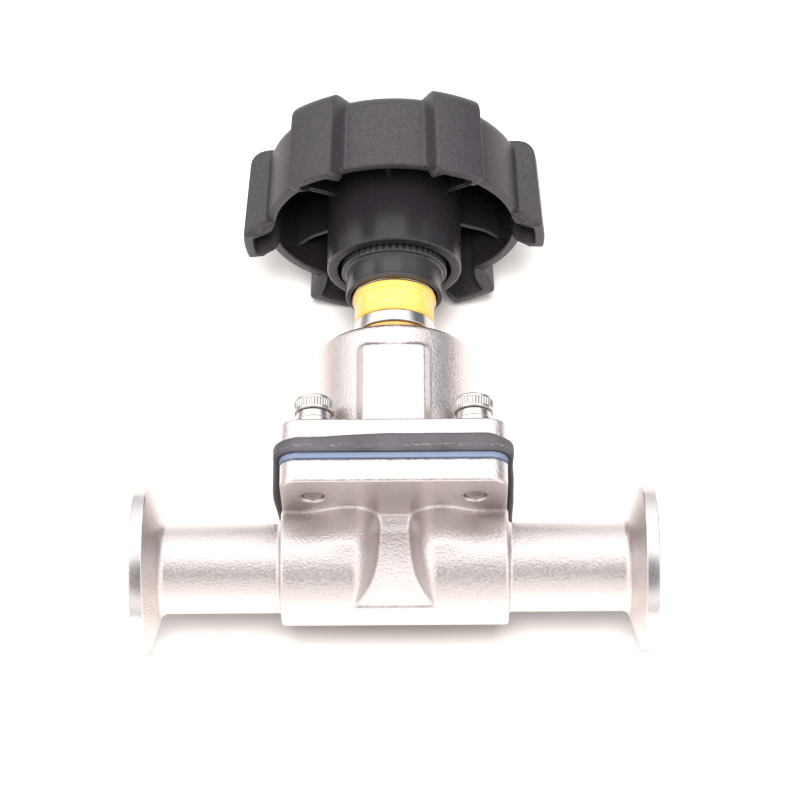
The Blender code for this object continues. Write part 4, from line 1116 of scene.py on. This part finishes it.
def make_fasteners():
    low, high = box_of("bonnet_screw_1")
    washer_low, washer_high = box_of("flat_washer_1")
    spring_low, spring_high = box_of("spring_washer_1")
    screw_points, screw_faces = screw_mesh(low.z, spring_high.z + 0.3, high.z)
    flat = tube_corners(SCREW_CLEARANCE, 5.88, washer_low.z - 0.2, washer_high.z, 0.3)
    flat_points, flat_faces = lathe(flat, 96)
    spring_radius = (spring_high.x - spring_low.x) / 2.0 - 0.02
    spring = tube_corners(SCREW_CLEARANCE, spring_radius, spring_low.z - 0.2, spring_high.z + 0.2,
                          0.25)
    spring_points, spring_faces = split_ring(spring, 0.1, 0.0)
    for index, (sx, sy) in enumerate(((-1, -1), (1, -1), (1, 1), (-1, 1)), 1):
        place = np.array((sx * SCREW_X, sy * SCREW_Y, 0.0))
        turn = np.array(Matrix.Rotation(math.radians(37.0 * index), 3, "Z"))
        add_piece(f"cap_screw_{index}", screw_points @ turn.T + place, screw_faces,
                  f"bonnet_screw_{index}", "screw_steel", "valve")
        add_piece(f"plain_washer_{index}", flat_points + place, flat_faces,
                  f"flat_washer_{index}", "screw_steel", "valve")
        add_piece(f"split_washer_{index}", spring_points + place, spring_faces,
                  f"spring_washer_{index}", "screw_steel", "valve")


def make_wheel_fasteners():
    low, high = box_of("handwheel_washer")
    corners = tube_corners(4.2, high.x, low.z, high.z, 0.25)
    ring_piece("wheel_washer", "handwheel_washer", corners, "screw_steel", "handwheel", 96)
    low, high = box_of("handwheel_nut")
    angles = turning(120)
    hexagon = regular_hexagon(13.0, angles)
    round_top = np.minimum(hexagon, 6.9)
    rows = [
        row(4.2, low.z + 0.4, angles), row(4.7, low.z, angles),
        row(6.2, low.z, angles), row(round_top, low.z + 0.15, angles),
        row(hexagon, low.z + 0.5, angles), row(hexagon, high.z - 0.5, angles),
        row(round_top, high.z - 0.15, angles), row(6.2, high.z, angles),
        row(4.7, high.z, angles), row(4.2, high.z - 0.4, angles),
    ]
    points, faces = join_rows(rows, closed=True)
    add_piece("wheel_nut", points, faces, "handwheel_nut", "screw_steel", "handwheel")
    low, high = box_of("handwheel_cap")
    radius = high.x
    corners = (
        (0.05, low.z + 0.9, 0.0), (radius - 1.4, low.z + 0.9, 0.3),
        (radius - 1.4, low.z, 0.2), (radius, low.z, 0.3),
        (radius, high.z - 0.3, 0.8), (8.0, high.z, 3.0),
        (7.4, high.z - 0.35, 0.3), (0.05, high.z - 0.35, 0.0),
    )
    points, faces = lathe(corners, 128, closed=False)
    add_piece("wheel_cap", points, faces, "handwheel_cap", "wheel_plastic", "handwheel")


# ---- diaphragm

DOME_RISE = 4.7
DOME_FOOT = 22.0
DOME_FLAT = 8.0


def dome(x, y):
    """How far the open diaphragm stands up here."""
    share = np.clip((np.hypot(x, y) - DOME_FLAT) / (DOME_FOOT - DOME_FLAT), 0.0, 1.0)
    return DOME_RISE * (0.5 + 0.5 * np.cos(np.pi * share))


def face_distance(x, y, z):
    plan = rounded_rectangle_distance(x, y, FLANGE_X + 0.25, FLANGE_Y + 0.2, FLANGE_CORNER)
    low = BODY_TOP + 0.04
    sheet = extruded(plan, z - dome(x, y), low, low + 1.96, 0.3)
    holes = np.hypot(np.abs(x) - SCREW_X, np.abs(y) - SCREW_Y) - SCREW_CLEARANCE
    return np.maximum(sheet, -holes)


def rim_reach(x, y):
    """How far the squeezed rubber stands out past the flange, uneven round the valve."""
    left = eased(0.6, 1.0, -x / FLANGE_X) * np.exp(-((y / 17.0) ** 2))
    right = eased(0.6, 1.0, x / FLANGE_X) * eased(-0.6, 0.8, y / FLANGE_Y)
    waves = np.sin(x / 5.3 + 0.7) * np.sin(y / 7.1 + 1.9)
    ripple = np.sin(x / 2.1 + y / 3.3)
    return 2.1 + 1.5 * left + 0.9 * right + 0.22 * waves + 0.06 * ripple


def backing_distance(x, y, z):
    plan = rounded_rectangle_distance(x, y, FLANGE_X, FLANGE_Y, FLANGE_CORNER)
    low = BACKING_LOW.z + 0.02
    high = BONNET_LOW.z - 0.2
    out = eased(-0.5, 1.5, plan)
    lean = eased(-0.95, 0.0, x / FLANGE_X)
    fall = 1.0 - 0.75 * eased(0.80, 1.0, x / FLANGE_X)
    swell = out * (0.1 + 1.35 * lean * fall)
    sag = out * 0.8
    base = z - dome(x, y)
    middle = (high + low + swell - sag) / 2.0
    half = (high - low + swell + sag) / 2.0
    edge = 1.5
    a = plan - rim_reach(x, y) + edge
    b = np.abs(base - middle) - half + edge
    sheet = np.hypot(np.maximum(a, 0.0), np.maximum(b, 0.0)) + np.minimum(np.maximum(a, b), 0.0)
    sheet -= edge
    holes = np.hypot(np.abs(x) - SCREW_X, np.abs(y) - SCREW_Y) - SCREW_CLEARANCE
    return np.maximum(sheet, -holes)


def backing_rim(x, y, z):
    return np.maximum(backing_distance(x, y, z), DOME_FOOT - np.hypot(x, y))


def backing_dome(x, y, z):
    around = np.hypot(x, y)
    seat = np.maximum(around - 6.3, z - BACKING_LOW.z - DOME_RISE - 2.2)
    cut = np.minimum(seat, around - 3.3)
    return np.maximum(np.maximum(backing_distance(x, y, z), around - DOME_FOOT), -cut)


def make_diaphragm():
    reach = 4.0
    low = np.array((-FLANGE_X, -FLANGE_Y, BODY_TOP))
    high = np.array((FLANGE_X, FLANGE_Y, BONNET_LOW.z))
    edge = np.array((1.0, 1.0, 0.0)) * 0.9
    rise = np.array((0.0, 0.0, DOME_RISE))
    points, faces = surface_of(face_distance, low - edge, high + edge + rise, 0.55)
    face = add_piece("face_sheet", points, faces, "diaphragm_face", "ptfe", None, crease=50.0)
    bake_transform(face)
    wide = np.array((reach, reach, 1.4))
    points, faces = surface_of(backing_rim, low - wide, high + wide, 0.6)
    add_piece("backing_rim", points, faces, "diaphragm_backing", "epdm", "valve", crease=50.0)
    low = np.array((-DOME_FOOT, -DOME_FOOT, BACKING_LOW.z)) - 1.0
    high = np.array((DOME_FOOT, DOME_FOOT, BONNET_LOW.z + DOME_RISE)) + 1.0
    points, faces = surface_of(backing_dome, low, high, 0.7)
    inner = add_piece("backing_dome", points, faces, "diaphragm_backing", "epdm", None, crease=50.0)
    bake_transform(inner)


# ---- studio and camera

CAMERA_PLACE = Vector((1.7, -788.7, -317.0)) * MM
CAMERA_TILT = math.radians(25.35)
CAMERA_ROLL = math.radians(0.2)
CAMERA_YAW = math.radians(0.5)
LENS = 125.1
SENSOR = 36.0


def make_camera():
    data = bpy.data.cameras.new("camera")
    data.lens = LENS
    data.sensor_width = SENSOR
    data.clip_start = 0.01
    data.clip_end = 50.0
    camera = bpy.data.objects.new("camera", data)
    bpy.context.scene.collection.objects.link(camera)
    look = Matrix.Rotation(math.radians(90.0) + CAMERA_TILT, 4, "X")
    roll = Matrix.Rotation(-CAMERA_ROLL, 4, "Z")
    yaw = Matrix.Rotation(CAMERA_YAW, 4, "Z")
    camera.matrix_world = yaw @ Matrix.Translation(CAMERA_PLACE) @ look @ roll
    bpy.context.scene.camera = camera
    return camera


def table_plane():
    """Tilt and distance of the table that touches the backing's rim and the wheel's lobes."""
    wheel_y = WHEEL_HIGH.y
    wheel_z = WHEEL_LOW.z + 10.4
    rim_y, rim_z = BACKING_HIGH.y, (BACKING_LOW.z + 27.7) / 2.0
    tilt = math.atan2(wheel_y - rim_y, wheel_z - rim_z)
    offset = rim_y * math.cos(tilt) - rim_z * math.sin(tilt) + 0.25
    return tilt, offset * MM


TABLE_TILT, TABLE_OFFSET = table_plane()
UP = Vector((0.0, -math.cos(TABLE_TILT), math.sin(TABLE_TILT)))  # away from the table
FAR = Vector((0.0, math.sin(TABLE_TILT), math.cos(TABLE_TILT)))  # along it, past the wheel


def table_material():
    """White table, painted darker towards the left as shade, seen from its front only, so that
    views from behind stay open.
    """
    n = Nodes("white_table")
    tree = n.tree
    tone = n.mixed(n.noise(3.0, 2.0), (0.50, 0.475, 0.46), (0.52, 0.495, 0.48))
    # Painted shade: the table turns dark towards the left (X below -0.15 m), where the light falls
    # off.
    left = n.ranged(n.axis("X"), -0.24, -0.15)
    color = n.mixed(left, (0.23, 0.21, 0.205), tone)
    n.finish(color=color, roughness=0.6, normal=n.bump(n.noise(900.0, 2.0), 0.05 * MM, 0.1))
    side = tree.nodes.new("ShaderNodeNewGeometry")
    clear = tree.nodes.new("ShaderNodeBsdfTransparent")
    mix = tree.nodes.new("ShaderNodeMixShader")
    out = tree.nodes["Material Output"]
    n.link(side.outputs["Backfacing"], mix.inputs["Fac"])
    n.link(n.shader.outputs["BSDF"], mix.inputs[1])
    n.link(clear.outputs["BSDF"], mix.inputs[2])
    n.link(mix.outputs["Shader"], out.inputs["Surface"])
    return n.material


def make_table():
    middle = -UP * TABLE_OFFSET + FAR * 0.35
    corners = [middle + Vector((sx * 1.2, 0.0, 0.0)) + FAR * sz * 0.75
               for sx, sz in ((-1, -1), (1, -1), (1, 1), (-1, 1))]
    mesh = bpy.data.meshes.new("table")
    mesh.from_pydata(corners, [], [(0, 1, 2, 3)])
    mesh.materials.append(table_material())
    table = bpy.data.objects.new("table", mesh)
    bpy.context.scene.collection.objects.link(table)
    return table


class Sky:
    """The room's brightness as seen in each direction, built from shader nodes."""

    def __init__(self):
        world = bpy.data.worlds.new("studio")
        world.use_nodes = True
        self.tree = world.node_tree
        self.background = self.tree.nodes["Background"]
        self.way = self.tree.nodes.new("ShaderNodeTexCoord").outputs["Generated"]
        bpy.context.scene.world = world

    def along(self, direction):
        node = self.tree.nodes.new("ShaderNodeVectorMath")
        node.operation = "DOT_PRODUCT"
        self.tree.links.new(self.way, node.inputs[0])
        node.inputs[1].default_value = tuple(Vector(direction).normalized())
        return node.outputs["Value"]

    def bands(self, stops):
        """Colour by the angle from the table's upright, towards the wheel's side."""
        turn = self.tree.nodes.new("ShaderNodeMath")
        turn.operation = "ARCTAN2"
        self.tree.links.new(self.along(FAR), turn.inputs[0])
        self.tree.links.new(self.along(UP), turn.inputs[1])
        scaled = self.tree.nodes.new("ShaderNodeMapRange")
        scaled.inputs["From Min"].default_value = -math.pi
        scaled.inputs["From Max"].default_value = math.pi
        self.tree.links.new(turn.outputs["Value"], scaled.inputs["Value"])
        ramp = self.tree.nodes.new("ShaderNodeValToRGB")
        ramp.color_ramp.interpolation = "EASE"
        points = ramp.color_ramp.elements
        while len(points) < len(stops):
            points.new(0.5)
        for point, (degrees, color) in zip(points, stops):
            point.position = (degrees + 180.0) / 360.0
            point.color = (*color, 1.0)
        self.tree.links.new(scaled.outputs["Result"], ramp.inputs["Fac"])
        return ramp.outputs["Color"]

    def patch(self, under, direction, inner, outer, color):
        """Mixes in a round soft-edged patch of another colour."""
        share = self.tree.nodes.new("ShaderNodeMapRange")
        share.interpolation_type = "SMOOTHSTEP"
        share.inputs["From Min"].default_value = math.cos(math.radians(outer))
        share.inputs["From Max"].default_value = math.cos(math.radians(inner))
        self.tree.links.new(self.along(direction), share.inputs["Value"])
        mix = self.tree.nodes.new("ShaderNodeMix")
        mix.data_type = "RGBA"
        self.tree.links.new(share.outputs["Result"], mix.inputs["Factor"])
        self.tree.links.new(under, mix.inputs["A"])
        mix.inputs["B"].default_value = (*color, 1.0)
        return mix.outputs["Result"]

    def finish(self, color, strength):
        self.tree.links.new(color, self.background.inputs["Color"])
        self.background.inputs["Strength"].default_value = strength


def grey(value, warmth=0.0):
    return (value * (1.0 + warmth), value, value * (1.0 - warmth))


def make_studio():
    sky = Sky()
    color = sky.bands((
        (-179.0, grey(0.40, 0.02)),
        (-95.0, grey(0.47, 0.02)),
        (-78.0, grey(0.78, 0.02)),
        (-20.0, grey(0.92)),
        (35.0, grey(1.00)),
        (55.0, grey(0.82)),
        (80.0, grey(0.55)),
        (100.0, grey(0.42)),
    ))
    color = sky.patch(color, (0.0, -0.837, -0.548), 10.0, 32.0, grey(0.21, 0.03))
    color = sky.patch(color, (0.895, -0.126, 0.428), 15.0, 40.0, (0.15, 0.158, 0.184))
    color = sky.patch(color, (-0.87, 0.30, 0.40), 10.0, 34.0, (0.24, 0.228, 0.232))
    sky.finish(color, 1.98)
    bpy.context.scene.view_settings.view_transform = "Standard"


def make_lamp():
    """A wide soft lamp straight above the table, left out of mirror images."""
    data = bpy.data.lights.new("overhead", "AREA")
    data.shape = "DISK"
    data.size = 0.45
    data.energy = 32.0
    data.color = (1.0, 0.985, 0.975)
    lamp = bpy.data.objects.new("overhead", data)
    bpy.context.scene.collection.objects.link(lamp)
    place = UP * 1.0 - FAR * 0.29
    lamp.location = place
    lamp.rotation_euler = place.to_track_quat("Z", "Y").to_euler()
    lamp.visible_glossy = False
    return lamp


# ---- build

dress_cad_nodes()
make_valve_body()
make_bonnet()
make_compressor()
make_diaphragm()
make_neck()
make_neck_rings()
make_spindle()
make_inner_pieces()
make_fasteners()
make_handwheel()
make_sleeve()
make_wheel_fasteners()
make_camera()
make_table()
make_studio()
make_lamp()
